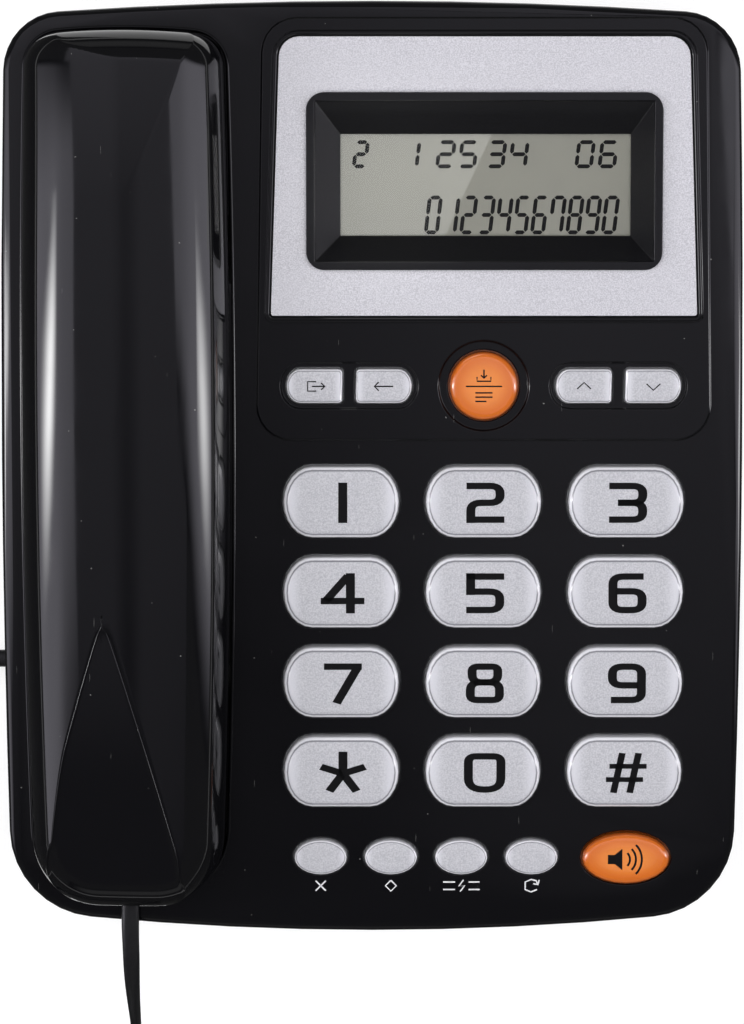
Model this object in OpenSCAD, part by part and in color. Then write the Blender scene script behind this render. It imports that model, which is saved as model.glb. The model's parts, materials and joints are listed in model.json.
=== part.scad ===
// Big button corded desk telephone: a wedge shaped base with a display and a keypad,
// a handset that lies in a cradle on the left, and a curly cord between the two.
// X is to the right, Y to the back and Z up. The origin is on the table, under the middle of the base.
// Places on the sloping face are given as u (right), v (up the slope) and w (out of the face).

/* [Face layout] */
// Front edge of the base to the row of small keys
small_row_margin = 17.8; // [15:0.1:30]
// Row of small keys to the lowest row of number keys
number_row_gap = 20.4; // [18:0.1:30]
// Step between the rows of number keys
row_pitch = 21.1; // [19.5:0.1:26]
// Step between the columns of number keys
column_pitch = 33.2; // [31:0.1:35]
// Top row of number keys to the function row
function_row_gap = 26.9; // [24:0.1:34]
// Function row to the middle of the display
display_gap = 47.2; // [45:0.1:60]
// Middle of the display to the back edge of the base
back_gap = 41.4; // [41:0.1:55]
// Left edge of the base to the cradle
cradle_margin = 5.1; // [4.6:0.1:12]
// Cradle to the raised island
island_gap = 5.5; // [4:0.1:15]
// Raised island to the right edge of the base
right_margin = 7.6; // [6:0.1:20]

/* [Base] */
// Bulge of the left and right edges
side_bulge = 1.6; // [0.5:0.1:6]
// Bulge of the back edge
back_bulge = 3.4; // [1:0.1:8]
// Bulge of the front edge
front_bulge = 5.4; // [1:0.1:9]
// Radius of the back corners in plan
back_corner_r = 13.8; // [10:0.1:18]
// Radius of the front corners in plan
front_corner_r = 21; // [16:0.1:24]
// Height of the face above the table at its middle
face_mid_z = 46; // [44:0.5:60]
// Slope of the face in degrees
face_slope = 6.3; // [3:0.1:8]
// Rounding of the edge of the face
edge_fillet = 1.6; // [0.6:0.1:2.2]
// Wall of the base shells
wall = 2.4; // [2:0.1:3]
// Rim of the lower shell above the handset socket
parting_rise = 0.7; // [0.5:0.1:3]
// Height of the underside above the table
bottom_z = 2; // [1.5:0.1:3]
// Radius of a rubber foot
foot_r = 6; // [4:0.5:8]

/* [Island and display] */
// Width of the raised island at its front
island_w = 105.8; // [104:0.1:112]
// How much narrower the island is at its back
island_taper = 3.2; // [0:0.1:6]
// Height of the island above the face
island_h = 1; // [0.6:0.1:1.6]
// Length of the silver panel up the slope
panel_l = 64.1; // [58:0.1:68]
// Width of the silver panel at its front
panel_w = 99; // [94:0.1:100]
// How much narrower the panel is at its back
panel_taper = 4.3; // [0:0.1:8]
// Thickness of the silver panel
panel_t = 0.8; // [0.5:0.1:1.2]
// Width of the display frame
bezel_w = 82.5; // [76:0.1:86]
// Length of the display frame up the slope
bezel_l = 41; // [37:0.1:44]
// Width of the visible part of the display
window_w = 67.5; // [60:0.1:70]
// Length of the visible part of the display up the slope
window_l = 23.6; // [18:0.1:28]

/* [Keys] */
// Length of a number key
number_key_l = 26.9; // [22:0.1:28]
// Width of a number key
number_key_w = 16.6; // [12:0.1:17]
// Length of the rounded end of a number key
number_end_l = 6.7; // [5:0.1:8]
// Length of a small key
small_key_l = 12.3; // [10:0.1:13]
// Width of a small key
small_key_w = 8.2; // [6.5:0.1:9]
// Step between the small keys
small_key_pitch = 16.55; // [16.2:0.05:17]
// Length of the loudspeaker key
speaker_key_l = 20.7; // [16:0.1:22]
// Width of the loudspeaker key
speaker_key_w = 12.2; // [9:0.1:13]
// Length of a function key
function_key_l = 13; // [11:0.1:13.2]
// Width of a function key
function_key_w = 7.9; // [6.5:0.1:9]
// Length of the rounded end of a function key
function_end_l = 3.2; // [2.5:0.1:4.5]
// Step between the two function keys of a pair
pair_pitch = 16.1; // [15.9:0.1:17]
// Middle of a pair to the middle of the keypad
pair_offset = 31.3; // [29:0.1:32]
// Middle of the keypad to the first small key
small_row_offset = 38.1; // [37:0.1:40]
// Diameter of the round call key
call_key_d = 16; // [12:0.1:17]
// How far a number key stands above the face
number_key_proud = 3.6; // [2.5:0.1:5]
// How far the other keys stand above what is round them
other_key_proud = 2.2; // [1.8:0.1:4]
// Travel of every key
key_travel = 1.5; // [0.8:0.1:1.6]

/* [Handset] */
// Width of the handset
handset_w = 48; // [44:0.1:52]
// Handset front end to the front edge of the base
handset_front_margin = 8.6; // [7.6:0.1:15]
// Handset back end to the back edge of the base
handset_back_margin = 6.9; // [5.4:0.1:12]
// Height of the handset's top above the face
handset_top = 23; // [21:0.5:28]
// Radius of the crown across the handset
crown_r = 60; // [45:1:90]
// Radius of the rounded sides of the handset
side_r = 13; // [11:0.5:14]
// Length of the creased front
crease_l = 69.5; // [50:0.5:80]
// Fall of the creased front at its end
crease_drop = 4.8; // [2:0.1:6]
// Length of the falling back
back_fall_l = 37; // [25:0.5:50]
// Fall of the back at its end
back_drop = 2.6; // [1:0.1:6]
// Wall of the handset shells
handset_wall = 2.2; // [1.8:0.1:2.6]
// Depth of the handle's underside below the face
handle_depth = 4; // [3:0.1:5]
// Depth of the earpiece cup below the face
ear_depth = 14; // [13:0.1:15]
// Depth of the mouthpiece cup below the face
mouth_depth = 12; // [11:0.1:13]
// Gap round the handset in its cradle
cradle_gap = 0.5; // [0.4:0.1:0.9]

/* [Cord] */
// Width of the flat cable
cable_w = 4.2; // [3.6:0.1:4.3]
// Thickness of the flat cable
cable_t = 2.2; // [1.8:0.1:2.6]
// Number of curls
curls = 40; // [20:1:60]
// Step from curl to curl
curl_pitch = 5.8; // [5.7:0.1:7]
// Radius of a curl at the middle of the cable
curl_r = 4.4; // [4:0.1:5]

/* [Hidden] */
$fn = 48;

// Colours
black = [0.10, 0.10, 0.11];
silver = [0.78, 0.78, 0.80];
clear_silver = [0.74, 0.74, 0.77];
orange = [0.86, 0.48, 0.22];
green = [0.15, 0.40, 0.25];
steel = [0.72, 0.72, 0.74];

// Cuts run past a face by this much, and large cutters reach past the whole object
past = 1;
far = 400;
deep = 40;

// Plan of the base, worked out from the layout of the face
cradle_w = handset_w + 2 * cradle_gap;
base_w = cradle_margin + cradle_w + island_gap + island_w + right_margin;
base_d = small_row_margin + number_row_gap + 3 * row_pitch + function_row_gap + display_gap + back_gap;
small_row_y = -base_d / 2 + small_row_margin;
top_row_y = small_row_y + number_row_gap + 3 * row_pitch;
function_row_y = top_row_y + function_row_gap;
display_y = function_row_y + display_gap;
handset_u = -base_w / 2 + cradle_margin + cradle_w / 2;
keypad_u = base_w / 2 - right_margin - island_w / 2;
edge_steps = 4;

// Base shells
floor_t = 2.2;
floor_z = bottom_z + floor_t;
plug_w = 7.6;
plug_h = 6.5;
plug_gap = 0.2;
socket_wall = 1.6;
socket_out_w = plug_w + 2 * plug_gap + 2 * socket_wall;
socket_out_h = plug_h + 2 * plug_gap + 2 * socket_wall;
parting_z = floor_z + socket_out_h + parting_rise;
lower_inset = 0.3;
// Outside of the lower shell: inset from the upper shell, and height above the underside
lower_profile = [[3.5, 0], [1.4, 1.2], [0.7, 4]];
lower_wall_inset = lower_profile[2][0] + wall;
boss_z = 12;
boss_r = 4;
screw_r = 1.5;
screw_hole_gap = 0.1;
screw_head_r = 2.8;
screw_head_h = 2;
screw_reach = 7;
head_gap = 0.3;
boss_margin = [10.5, 16.5];
foot_margin = [24, 17];
foot_sink = 1;
foot_gap = 0.1;
function corner_places(margin) =
    [for (sx = [-1, 1], sy = [-1, 1]) [sx * (base_w / 2 - margin[0]), sy * (base_d / 2 - margin[1])]];
boss_places = corner_places(boss_margin);
foot_places = corner_places(foot_margin);
keyhole_spacing = 83;
keyhole_y = 3.5;
keyhole_x = -12;
keyhole_r = 4.2;
keyhole_slot_r = 2.1;
keyhole_slot_l = 9;

// Layers under the face, from the shell inwards
key_gap = 0.35;
flange_gap = 0.3;
flange_margin = 1.2;
flange_t = 1.2;
flange_top = -wall - flange_gap;
flange_bottom = flange_top - flange_t;
collar_gap = 0.3;
collar_top = flange_bottom - key_travel - collar_gap;
collar_h = 1.5;
collar_wall = 1.4;
stem_engage = 0.5;
stem_end = collar_top - stem_engage;
stem_gap = 0.3;
mat_top = collar_top - collar_h;
mat_t = 1.2;
board_top = mat_top - mat_t;
board_t = 1.6;
board_bottom = board_top - board_t;
board_edge = 1.5;
well_depth = 0.8;
well_margin = 1.4;
call_margin = 2.5;
key_edge_r = 1.6;
small_edge_r = 0.8;
square_r = 1;
key_steps = 12;
square_steps = 3;
number_stem_r = 3;
small_stem_r = 2;
number_count = 12;
function_count = 4;
small_count = 4;

// Key board and mat
board_left_margin = 5;
board_right_margin = 16;
board_end_margin = 8.5;
board_u0 = keypad_u - island_w / 2 + board_left_margin;
board_u1 = base_w / 2 - board_right_margin;
board_y0 = small_row_y - board_end_margin;
board_y1 = function_row_y + board_end_margin;
post_r = 2.4;
post_screw_r = 1;
post_screw_l = 5;
post_head_r = 2;
post_head_h = 1.4;
post_gap = 0.6;
post_us = [keypad_u - column_pitch / 2, keypad_u + column_pitch / 2];
post_ys = [
    top_row_y - 5 * row_pitch / 2, top_row_y - row_pitch / 2, top_row_y + function_row_gap / 2
];
post_places = [for (u = post_us, y = post_ys) [u, y]];

// Display stack
display_at = [keypad_u, face_v(display_y), 0];
window_shift = [0.4, -1.05, 0];
island_front_margin = 12.6;
island_back_margin = 4.1;
island_y0 = function_row_y - island_front_margin;
island_y1 = base_d / 2 - island_back_margin;
island_corner_r = 8;
panel_front_margin = 10.5;
panel_y0 = display_y - bezel_l / 2 - panel_front_margin;
panel_gap = 0.35;
panel_floor = 0.3;
panel_back_r = 4.7;
panel_front_r = 0.6;
surround_w = 1.3;
surround_rise = 0.4;
surround_h = island_h + surround_rise;
bezel_corner_r = 4.2;
bezel_rim = 2;
bezel_rise = 1.5;
bezel_flange = 1.8;
bezel_gap = 0.3;
bezel_top = panel_floor + panel_t + bezel_rise;
bezel_bottom = -4.6;
lens_margin = 2;
lens_t = 1;
lcd_margin = 4;
lcd_top = bezel_bottom - lens_t;
display_board_margin = 6;
ribbon_w = 24;
ribbon_t = 0.6;
ribbon_lap = 5;

// Handset, along the slope
function face_v(y) = y / cos(face_slope);
function face_z(y) = face_mid_z + y * tan(face_slope);
handset_v0 = face_v(-base_d / 2 + handset_front_margin);
handset_v1 = face_v(base_d / 2 - handset_back_margin);
widest_share = 0.55;
widest_v = handset_v0 + widest_share * (handset_v1 - handset_v0);
handset_side_bulge = 2.1;
handset_back_bulge = 1.6;
handset_front_bulge = 0.7;
handset_back_r = 8;
handset_front_r = 16;
crease_v = handset_v0 + crease_l;
back_fall_v = handset_v1 - back_fall_l;
back_fall_power = 1.2;
front_nose_r = 9;
back_nose_r = 5;
cup_l = 41;
ramp_l = 20;
cup_inset = 2.2;
cup_edge_r = 4;
cup_bend_r = 1;
side_centre_w = handset_top - crown_r
    + sqrt(pow(crown_r - side_r, 2) - pow(handset_w / 2 - side_r, 2));
split_drop = 0.2;
split_w = side_centre_w - split_drop;
crown_steps = 6;
profile_steps = 24;
nose_steps = 6;
handle_v0 = handset_v0 + cup_l + ramp_l;
handle_v1 = handset_v1 - cup_l - ramp_l;
ear_v = handset_v1 - cup_l / 2;
mouth_v = handset_v0 + cup_l / 2;
handset_boss_r = 3.4;
handset_boss_margin = 8;
handset_boss_vs = [handle_v0 + handset_boss_margin, handle_v1 - handset_boss_margin];
handset_screw_r = 1.2;
handset_head_r = 2.2;
handset_screw_reach = 6;
hole_r = 1.1;
hole_ring_r = 6;
capsule_r = 15.5;
capsule_back_r = 9.3;
capsule_h = 9;
capsule_gap = 0.3;
microphone_r = 5;
microphone_h = 6.5;
microphone_wall = 1.6;
weight_l = 50;
weight_w = 18;
weight_h = 8;
weight_corner_r = 2;

// Cradle
hump_gap = 1.5;
seat_gap = 0.4;
tub_wall = 1.8;

// Hook switch under the hump of the cradle
hook_back_margin = 14;
hook_v = handle_v1 - hook_back_margin;
hook_l = 9;
hook_w = 5;
hook_gap = 0.35;
hook_travel = 4;
hook_flange_t = 1.2;
hook_margin = 1.4;
hook_rest_gap = 0.3;
hook_top = -handle_depth - hook_rest_gap;
hook_tip_l = 3;
hook_tip_r = 1.7;
tub_under = -handle_depth - hump_gap - tub_wall;
hook_flange_top = tub_under - hook_gap - hook_travel;
hook_end = hook_flange_top - hook_flange_t - hook_tip_l;
switch_l = 12.8;
switch_w = 6.4;
switch_h = 6.5;
cheek_t = 1.6;

// Sockets and plugs
socket_l = 14;
socket_top_gap = 0.4;
socket_w = split_w - socket_top_gap - socket_out_h / 2;
socket_rest_margin = 2;
socket_sink = 0.5;
plug_proud = 0.3;
plug_end_gap = 1;
pin_pitch = 1.2;
pin_w = 0.6;
pin_l = 3;
pin_depth = 1;
jack_recess = 0.8;
jack_x = -base_w / 2 + lower_inset + jack_recess;
jack_y = -45;
jack_z = floor_z + socket_out_h / 2;
jack_proud = 3;
line_offset = 20;
line_x = keypad_u + line_offset;
line_plug_w = 9.8;
line_plug_h = 6.7;
line_latch_w = 6.4;
line_latch_h = 3;
line_wall = 1.8;
line_l = 16;
line_recess = 1.2;
line_out_w = line_plug_w + 2 * line_wall;
line_out_h = line_plug_h + line_latch_h + 2 * line_wall;
line_z = parting_z + 2 * plug_gap + line_out_h / 2;

// Ringer switch on the right wall
ringer_y = 60;
ringer_z = 26;
ringer_travel = 6;
ringer_l = 4.6;
ringer_h = 3.4;
ringer_gap = 0.35;
ringer_proud = 1;
ringer_flange_t = 1.2;
ringer_margin = 3;
ringer_back_gap = 0.55;

// Loudspeaker in the base
speaker_offset = [4, -6];
speaker_x = keypad_u + speaker_offset[0];
speaker_y = display_y + speaker_offset[1];
speaker_r = 25;
speaker_rim_h = 3;
speaker_h = 17;
magnet_r = 13;
magnet_h = 7;
cone_margin = 3;
cone_neck_r = 12;
grille_margin = 5;
grille_slots = 7;
grille_pitch = 5.5;
grille_w = 2;
ring_gap = 0.3;

// Battery bay under the front
cell_r = 5.2;
cell_l = 44;
cell_gap = 0.3;
cells = 3;
bay_x = keypad_u;
bay_front_margin = 38;
bay_y = -base_d / 2 + bay_front_margin;
contact_t = 0.6;
bay_l = cell_l + 2 * contact_t + 2 * cell_gap;
bay_w = cells * (2 * cell_r + cell_gap) + cell_gap;
bay_h = 2 * cell_r + 2 * cell_gap;
bay_wall = 1.6;
door_t = 1.8;
door_gap = 0.3;
door_lap = 2;
door_travel = 5.5;
door_l = bay_l + 2 * door_lap;
door_w = bay_w + 2 * door_lap;
door_run = door_l + door_travel + 3 * door_gap;
door_run_x = bay_x - door_l / 2 - door_travel - 2 * door_gap;
bay_frame_t = 1.6;
bay_z = bottom_z + door_t + door_gap;

// Cord route: points chosen by hand, in millimetres
cord_u = handset_u;
exit_y = handset_v0 * cos(face_slope) - socket_w * sin(face_slope);
exit_z = face_mid_z + handset_v0 * sin(face_slope) + socket_w * cos(face_slope);
handset_tail_route = [
    [0, -3, 37.66], [0, -8, 37], [0.1, -14, 35.6], [0.2, -20, 33], [0.4, -26, 28.8],
    [0.5, -31, 23.6], [0.5, -35, 18], [0.3, -39, 12.3], [0.1, -42.6, 8.6], [0, -45.8, 6.4],
    [0, -48.6, 5.6]
];
curl_start = [0, -53];
curl_end_y = -72;
bend_r = 26;
base_tail_route = [[0, 7, 5.6], [0.8, 13, 6], [3.4, 19, 7], [8, 24, 8.4], [13.5, 26.6, 9.3]];
tail_lead = 4;
cable_sides = 8;
curl_sides = 6;
curl_rings = 8;

// Points on an arc, without its last one
function arc(c, r, a0, a1, n) =
    [for (i = [0 : n - 1]) c + r * [cos(a0 + (a1 - a0) * i / n), sin(a0 + (a1 - a0) * i / n)]];

function unit(a) = a / norm(a);

function bearing(a) = atan2(a[1], a[0]);

function smooth(t) = let (c = min(1, max(0, t))) c * c * (3 - 2 * c);

// Where two circles meet, on the left (1) or right (-1) of the line from the first to the second
function circles_meet(c1, r1, c2, r2, side) =
    let (
        d = norm(c2 - c1),
        a = (r1 * r1 - r2 * r2 + d * d) / (2 * d),
        h = sqrt(r1 * r1 - a * a),
        along = (c2 - c1) / d
    )
    c1 + a * along + side * h * [-along[1], along[0]];

// Radius of an arc from its half chord and its rise
function bulge_r(half, rise) = (half * half + rise * rise) / (2 * rise);

// Outline of four bulging edges with rounded corners, drawn in by d all round
function barrel(hw, y0, y1, yc, side_b, back_b, front_b, back_r, front_r, d) =
    let (
        rs = bulge_r(max(y1 - yc, yc - y0), side_b),
        rb = bulge_r(hw, back_b),
        rf = bulge_r(hw, front_b),
        cs = [hw - rs, yc],
        cb = [0, y1 - rb],
        cf = [0, y0 + rf],
        kb = circles_meet(cs, rs - back_r, cb, rb - back_r, 1),
        kf = circles_meet(cs, rs - front_r, cf, rf - front_r, -1),
        half = concat(
            arc(cf, rf - d, -90, bearing(kf - cf), 4),
            arc(kf, front_r - d, bearing(kf - cf), bearing(kf - cs), 8),
            arc(cs, rs - d, bearing(kf - cs), bearing(kb - cs), 8),
            arc(kb, back_r - d, bearing(kb - cs), bearing(kb - cb), 8),
            arc(cb, rb - d, bearing(kb - cb), 90, 4),
            [[0, y1 - d]]
        )
    )
    concat(half, [for (i = [len(half) - 2 : -1 : 1]) [-half[i][0], half[i][1]]]);

// Polygon with each corner rounded to its own radius
function rounded(corners, radii) =
    let (n = len(corners))
    [
        for (i = [0 : n - 1])
            let (
                p = corners[i],
                back = unit(corners[(i + n - 1) % n] - p),
                on = unit(corners[(i + 1) % n] - p),
                half = acos(back * on) / 2,
                c = p + unit(back + on) * radii[i] / sin(half),
                a0 = bearing(p + back * radii[i] / tan(half) - c),
                turn = (bearing(p + on * radii[i] / tan(half) - c) - a0 + 720) % 360
            )
            for (k = [0 : 6]) c + radii[i] * [cos(a0 + turn * k / 6), sin(a0 + turn * k / 6)]
    ];

// Trapezium that narrows to the back, about the middle of the keypad
function trapezium(front_w, back_w, y0, y1, front_r, back_r) =
    rounded(
        [
            [keypad_u - front_w / 2, face_v(y0)], [keypad_u + front_w / 2, face_v(y0)],
            [keypad_u + back_w / 2, face_v(y1)], [keypad_u - back_w / 2, face_v(y1)]
        ],
        [front_r, front_r, back_r, back_r]
    );

function base_ring(d) =
    barrel(base_w / 2, -base_d / 2, base_d / 2, 0, side_bulge, back_bulge, front_bulge,
        back_corner_r, front_corner_r, d);

function handset_ring(d) =
    [
        for (p = barrel(handset_w / 2, handset_v0, handset_v1, widest_v, handset_side_bulge,
            handset_back_bulge, handset_front_bulge, handset_back_r, handset_front_r, d))
            p + [handset_u, 0]
    ];

// Moves its children onto the sloping face
module on_face() {
    translate([0, 0, face_mid_z]) rotate([face_slope, 0, 0]) children();
}

// All that lies under the face, w above it
module below_face(w) {
    on_face() translate([-far / 2, -far / 2, w - far]) cube(far);
}

// Extrudes a (v, w) outline across the handset
module across(width) {
    translate([handset_u, 0, 0]) rotate([90, 0, 90]) linear_extrude(width, center = true) children();
}

// Closed skin over rings of equally many points
module skin(rings) {
    n = len(rings[0]);
    last = len(rings) - 1;
    sides = [
        for (k = [0 : last - 1], i = [0 : n - 1]) each [
            [k * n + i, (k + 1) * n + i, (k + 1) * n + (i + 1) % n],
            [k * n + i, (k + 1) * n + (i + 1) % n, k * n + (i + 1) % n]
        ]
    ];
    bottom = [for (i = [0 : n - 1]) i];
    top = [for (i = [n - 1 : -1 : 0]) last * n + i];
    polyhedron([for (ring = rings) each ring], concat([bottom], sides, [top]));
}

// Plate with round ends
module pill(l, w) {
    if (l > w) square([l - w, w], center = true);
    for (s = [-1, 1]) translate([s * (l - w) / 2, 0]) circle(d = w);
}

module rounded_rect(l, w, r) {
    square([l - 2 * r, w], center = true);
    square([l, w - 2 * r], center = true);
    for (sx = [-1, 1], sy = [-1, 1]) translate([sx * (l / 2 - r), sy * (w / 2 - r)]) circle(r);
}

// Half section of a key with a rounded top edge
module key_section(half, h, r) {
    square([half - r, h]);
    square([half, h - r]);
    translate([half - r, h - r]) circle(r);
}

// Right end of a key's outline: half an ellipse, or square where its length is 0
function key_end(l, w, end_l, d) =
    end_l > 0 ? [
        for (k = [0 : key_steps])
            let (t = -90 + 180 * k / key_steps)
            [l / 2 - end_l + (end_l - d) * cos(t), (w / 2 - d) * sin(t)]
    ]
    : concat(
        arc([l / 2 - square_r, square_r - w / 2], square_r - d, -90, 0, square_steps),
        arc([l / 2 - square_r, w / 2 - square_r], square_r - d, 0, 90, square_steps),
        [[l / 2 - square_r, w / 2 - d]]
    );

// Outline of a key from the lengths of its ends, drawn in by d all round
function key_ring(l, w, left_l, right_l, d) =
    concat(key_end(l, w, right_l, d), [for (p = key_end(l, w, left_l, d)) -p]);

// Key with a rounded top edge, a flange under the shell, and a stem
module shaped_key(l, w, left_l, right_l, top, r, stem_r) {
    levels = concat(
        [[0, flange_bottom]],
        [
            for (k = [0 : edge_steps])
                let (t = 90 * k / edge_steps)
                [r * (1 - cos(t)), top - r * (1 - sin(t))]
        ]
    );
    skin([for (q = levels) [for (p = key_ring(l, w, left_l, right_l, q[0])) [p[0], p[1], q[1]]]]);
    translate([0, 0, flange_bottom]) linear_extrude(flange_t)
        polygon(key_ring(l, w, left_l, right_l, -flange_margin));
    key_stem(stem_r);
}

module round_key(d, top, r, stem_r) {
    translate([0, 0, flange_bottom]) {
        rotate_extrude() key_section(d / 2, top - flange_bottom, r);
        cylinder(h = flange_t, d = d + 2 * flange_margin);
    }
    key_stem(stem_r);
}

module key_stem(r) {
    translate([0, 0, stem_end]) cylinder(h = flange_bottom - stem_end, r = r);
}

// Places of the keys on the face
function number_at(i) =
    [keypad_u + (i % 3 - 1) * column_pitch, face_v(top_row_y - floor(i / 3) * row_pitch), 0];
function small_at(i) = [keypad_u - small_row_offset + i * small_key_pitch, face_v(small_row_y), 0];
function function_at(i) =
    [
        keypad_u + (i < 2 ? -1 : 1) * pair_offset + (i % 2 == 0 ? -1 : 1) * pair_pitch / 2,
        face_v(function_row_y),
        0
    ];
function function_left(i) = i % 2 == 0 ? function_end_l : 0;
function function_right(i) = i % 2 == 0 ? 0 : function_end_l;
call_at = [keypad_u, face_v(function_row_y), 0];
speaker_key_shift = [0.6, -0.35, 0];
speaker_key_at = [keypad_u + column_pitch, face_v(small_row_y), 0] + speaker_key_shift;
stem_places = concat(
    [for (i = [0 : number_count - 1]) [number_at(i), number_stem_r]],
    [for (i = [0 : small_count - 1]) [small_at(i), small_stem_r]],
    [for (i = [0 : function_count - 1]) [function_at(i), small_stem_r]],
    [[call_at, number_stem_r], [speaker_key_at, number_stem_r]]
);

module number_key(i) {
    color(clear_silver) on_face() translate(number_at(i))
        shaped_key(number_key_l, number_key_w, number_end_l, number_end_l, number_key_proud, key_edge_r,
            number_stem_r);
}

module small_key(i) {
    color(clear_silver) on_face() translate(small_at(i))
        shaped_key(small_key_l, small_key_w, small_key_l / 2, small_key_l / 2, other_key_proud,
            small_edge_r, small_stem_r);
}

module function_key(i) {
    color(clear_silver) on_face() translate(function_at(i))
        shaped_key(function_key_l, function_key_w, function_left(i), function_right(i),
            island_h - well_depth + other_key_proud, small_edge_r, small_stem_r);
}

module call_key() {
    color(orange) on_face() translate(call_at)
        round_key(call_key_d, island_h - well_depth + other_key_proud, key_edge_r, number_stem_r);
}

module speaker_key() {
    color(orange) on_face() translate(speaker_key_at)
        shaped_key(speaker_key_l, speaker_key_w, speaker_key_l / 2, speaker_key_l / 2, other_key_proud,
            key_edge_r, number_stem_r);
}

// Openings in the face for all the keys, with their shallow wells
module key_openings() {
    depth = wall + island_h + 2 * past;
    translate([0, 0, -wall - past]) linear_extrude(depth) {
        for (i = [0 : number_count - 1]) translate(number_at(i))
            polygon(key_ring(number_key_l, number_key_w, number_end_l, number_end_l, -key_gap));
        for (i = [0 : small_count - 1]) translate(small_at(i))
            polygon(key_ring(small_key_l, small_key_w, small_key_l / 2, small_key_l / 2, -key_gap));
        for (i = [0 : function_count - 1]) translate(function_at(i))
            polygon(key_ring(function_key_l, function_key_w, function_left(i), function_right(i),
                -key_gap));
        translate(call_at) circle(d = call_key_d + 2 * key_gap);
        translate(speaker_key_at)
            polygon(key_ring(speaker_key_l, speaker_key_w, speaker_key_l / 2, speaker_key_l / 2,
                -key_gap));
    }
    translate([0, 0, island_h - well_depth]) linear_extrude(well_depth + past) {
        for (s = [-1, 1]) translate(call_at + [s * pair_offset, 0, 0])
            polygon(key_ring(pair_pitch + function_key_l, function_key_w, function_end_l, function_end_l,
                -well_margin));
        translate(call_at) circle(d = call_key_d + 2 * call_margin);
    }
}

// Outside of the upper base shell, rounded along the edge of the face
module upper_form() {
    foot_ring = [for (p = base_ring(0)) [p[0], p[1], parting_z]];
    edge_rings = [
        for (k = [0 : edge_steps])
            let (t = 90 * k / edge_steps)
            [
                for (p = base_ring(edge_fillet * (1 - cos(t))))
                    [p[0], p[1], face_z(p[1]) - edge_fillet * (1 - sin(t))]
            ]
    ];
    skin(concat([foot_ring], edge_rings));
}

module upper_cavity() {
    intersection() {
        translate([0, 0, parting_z - past]) linear_extrude(far) polygon(base_ring(wall));
        below_face(-wall);
    }
}

// Depth below the face along the handset's underside, at the given levels
function underside(v, handle, ear, mouth) =
    -handle - (ear - handle) * smooth((v - handle_v1) / ramp_l)
    - (mouth - handle) * smooth((handle_v0 - v) / ramp_l);

function slope_stops(v0, v1) = [for (i = [0 : profile_steps]) v0 + (v1 - v0) * i / profile_steps];

// All above a floor that follows the handset's underside
module above_floor(handle, ear, mouth, top) {
    ends = [handset_v1 + 3 * tub_wall, handset_v0 - 3 * tub_wall];
    stops = concat([ends[1]], slope_stops(handle_v0 - ramp_l, handle_v0),
        slope_stops(handle_v1, handle_v1 + ramp_l), [ends[0]]);
    across(far) polygon(concat(
        [for (v = stops) [v, underside(v, handle, ear, mouth)]],
        [[ends[0], top], [ends[1], top]]
    ));
}

// Hollow that takes the handset, grown by more than the cradle's gap for its outside
module tub(grow, top) {
    intersection() {
        translate([0, 0, -far / 2]) linear_extrude(far) polygon(handset_ring(-cradle_gap - grow));
        above_floor(handle_depth + hump_gap + grow, ear_depth + seat_gap + grow,
            mouth_depth + seat_gap + grow, top);
    }
}

// Raises a plate out of the face, rooted in the wall below it
module raised(h) {
    translate([0, 0, -wall / 2]) linear_extrude(wall / 2 + h) children();
}

module island() {
    raised(island_h)
        polygon(trapezium(island_w, island_w - island_taper, island_y0, island_y1, island_corner_r,
            island_corner_r));
}

module panel_outline(grow) {
    polygon(trapezium(panel_w + 2 * grow, panel_w - panel_taper + 2 * grow, panel_y0 - grow,
        panel_y0 + panel_l + grow, panel_front_r + grow, panel_back_r + grow));
}

module bezel_sleeve(grow) {
    translate(display_at)
        rounded_rect(bezel_w - 2 * bezel_flange + 2 * grow, bezel_l - 2 * bezel_flange + 2 * grow,
            bezel_corner_r - bezel_flange + grow);
}

// Posts that carry the key board
module board_posts() {
    for (p = post_places) translate([p[0], face_v(p[1]), board_top])
        cylinder(h = -wall - board_top + past / 2, r = post_r);
}

// Two cheeks that hold the hook switch under the cradle
module switch_cheeks() {
    for (s = [-1, 1])
        translate([handset_u + s * (switch_l + cheek_t) / 2, hook_v, tub_under + tub_wall / 2])
            translate([-cheek_t / 2, -switch_w / 2, hook_end - switch_h - tub_under - tub_wall / 2])
                cube([cheek_t, switch_w, tub_under + tub_wall / 2 - hook_end + switch_h]);
}

module upper_bosses() {
    intersection() {
        for (p = boss_places) translate([p[0], p[1], boss_z]) cylinder(h = far, r = boss_r);
        below_face(-wall / 2);
    }
}

module base_upper_shell() {
    color(black) difference() {
        union() {
            difference() {
                upper_form();
                upper_cavity();
            }
            upper_bosses();
            on_face() {
                island();
                raised(surround_h) panel_outline(surround_w);
                tub(tub_wall, -wall / 2);
                board_posts();
                switch_cheeks();
            }
        }
        on_face() {
            tub(0, island_h + past);
            key_openings();
            translate([0, 0, panel_floor]) linear_extrude(surround_h + past) panel_outline(panel_gap);
            translate([0, 0, -wall - past]) linear_extrude(wall + island_h + past) bezel_sleeve(bezel_gap);
            translate([handset_u, hook_v, tub_under - past])
                linear_extrude(far) pill(hook_l + 2 * hook_gap, hook_w + 2 * hook_gap);
            for (p = post_places) translate([p[0], face_v(p[1]), board_top - past])
                cylinder(h = post_screw_l + past, r = post_screw_r + screw_hole_gap);
        }
        for (p = boss_places) translate([p[0], p[1], boss_z - past])
            cylinder(h = screw_reach + past, r = screw_r + screw_hole_gap);
        line_opening();
        ringer_opening();
    }
}

// Outside of the lower base shell, drawn in towards the table
module lower_form() {
    rings = concat(lower_profile, [[lower_inset, parting_z - bottom_z]]);
    skin([for (r = rings) [for (p = base_ring(r[0])) [p[0], p[1], bottom_z + r[1]]]]);
}

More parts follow.
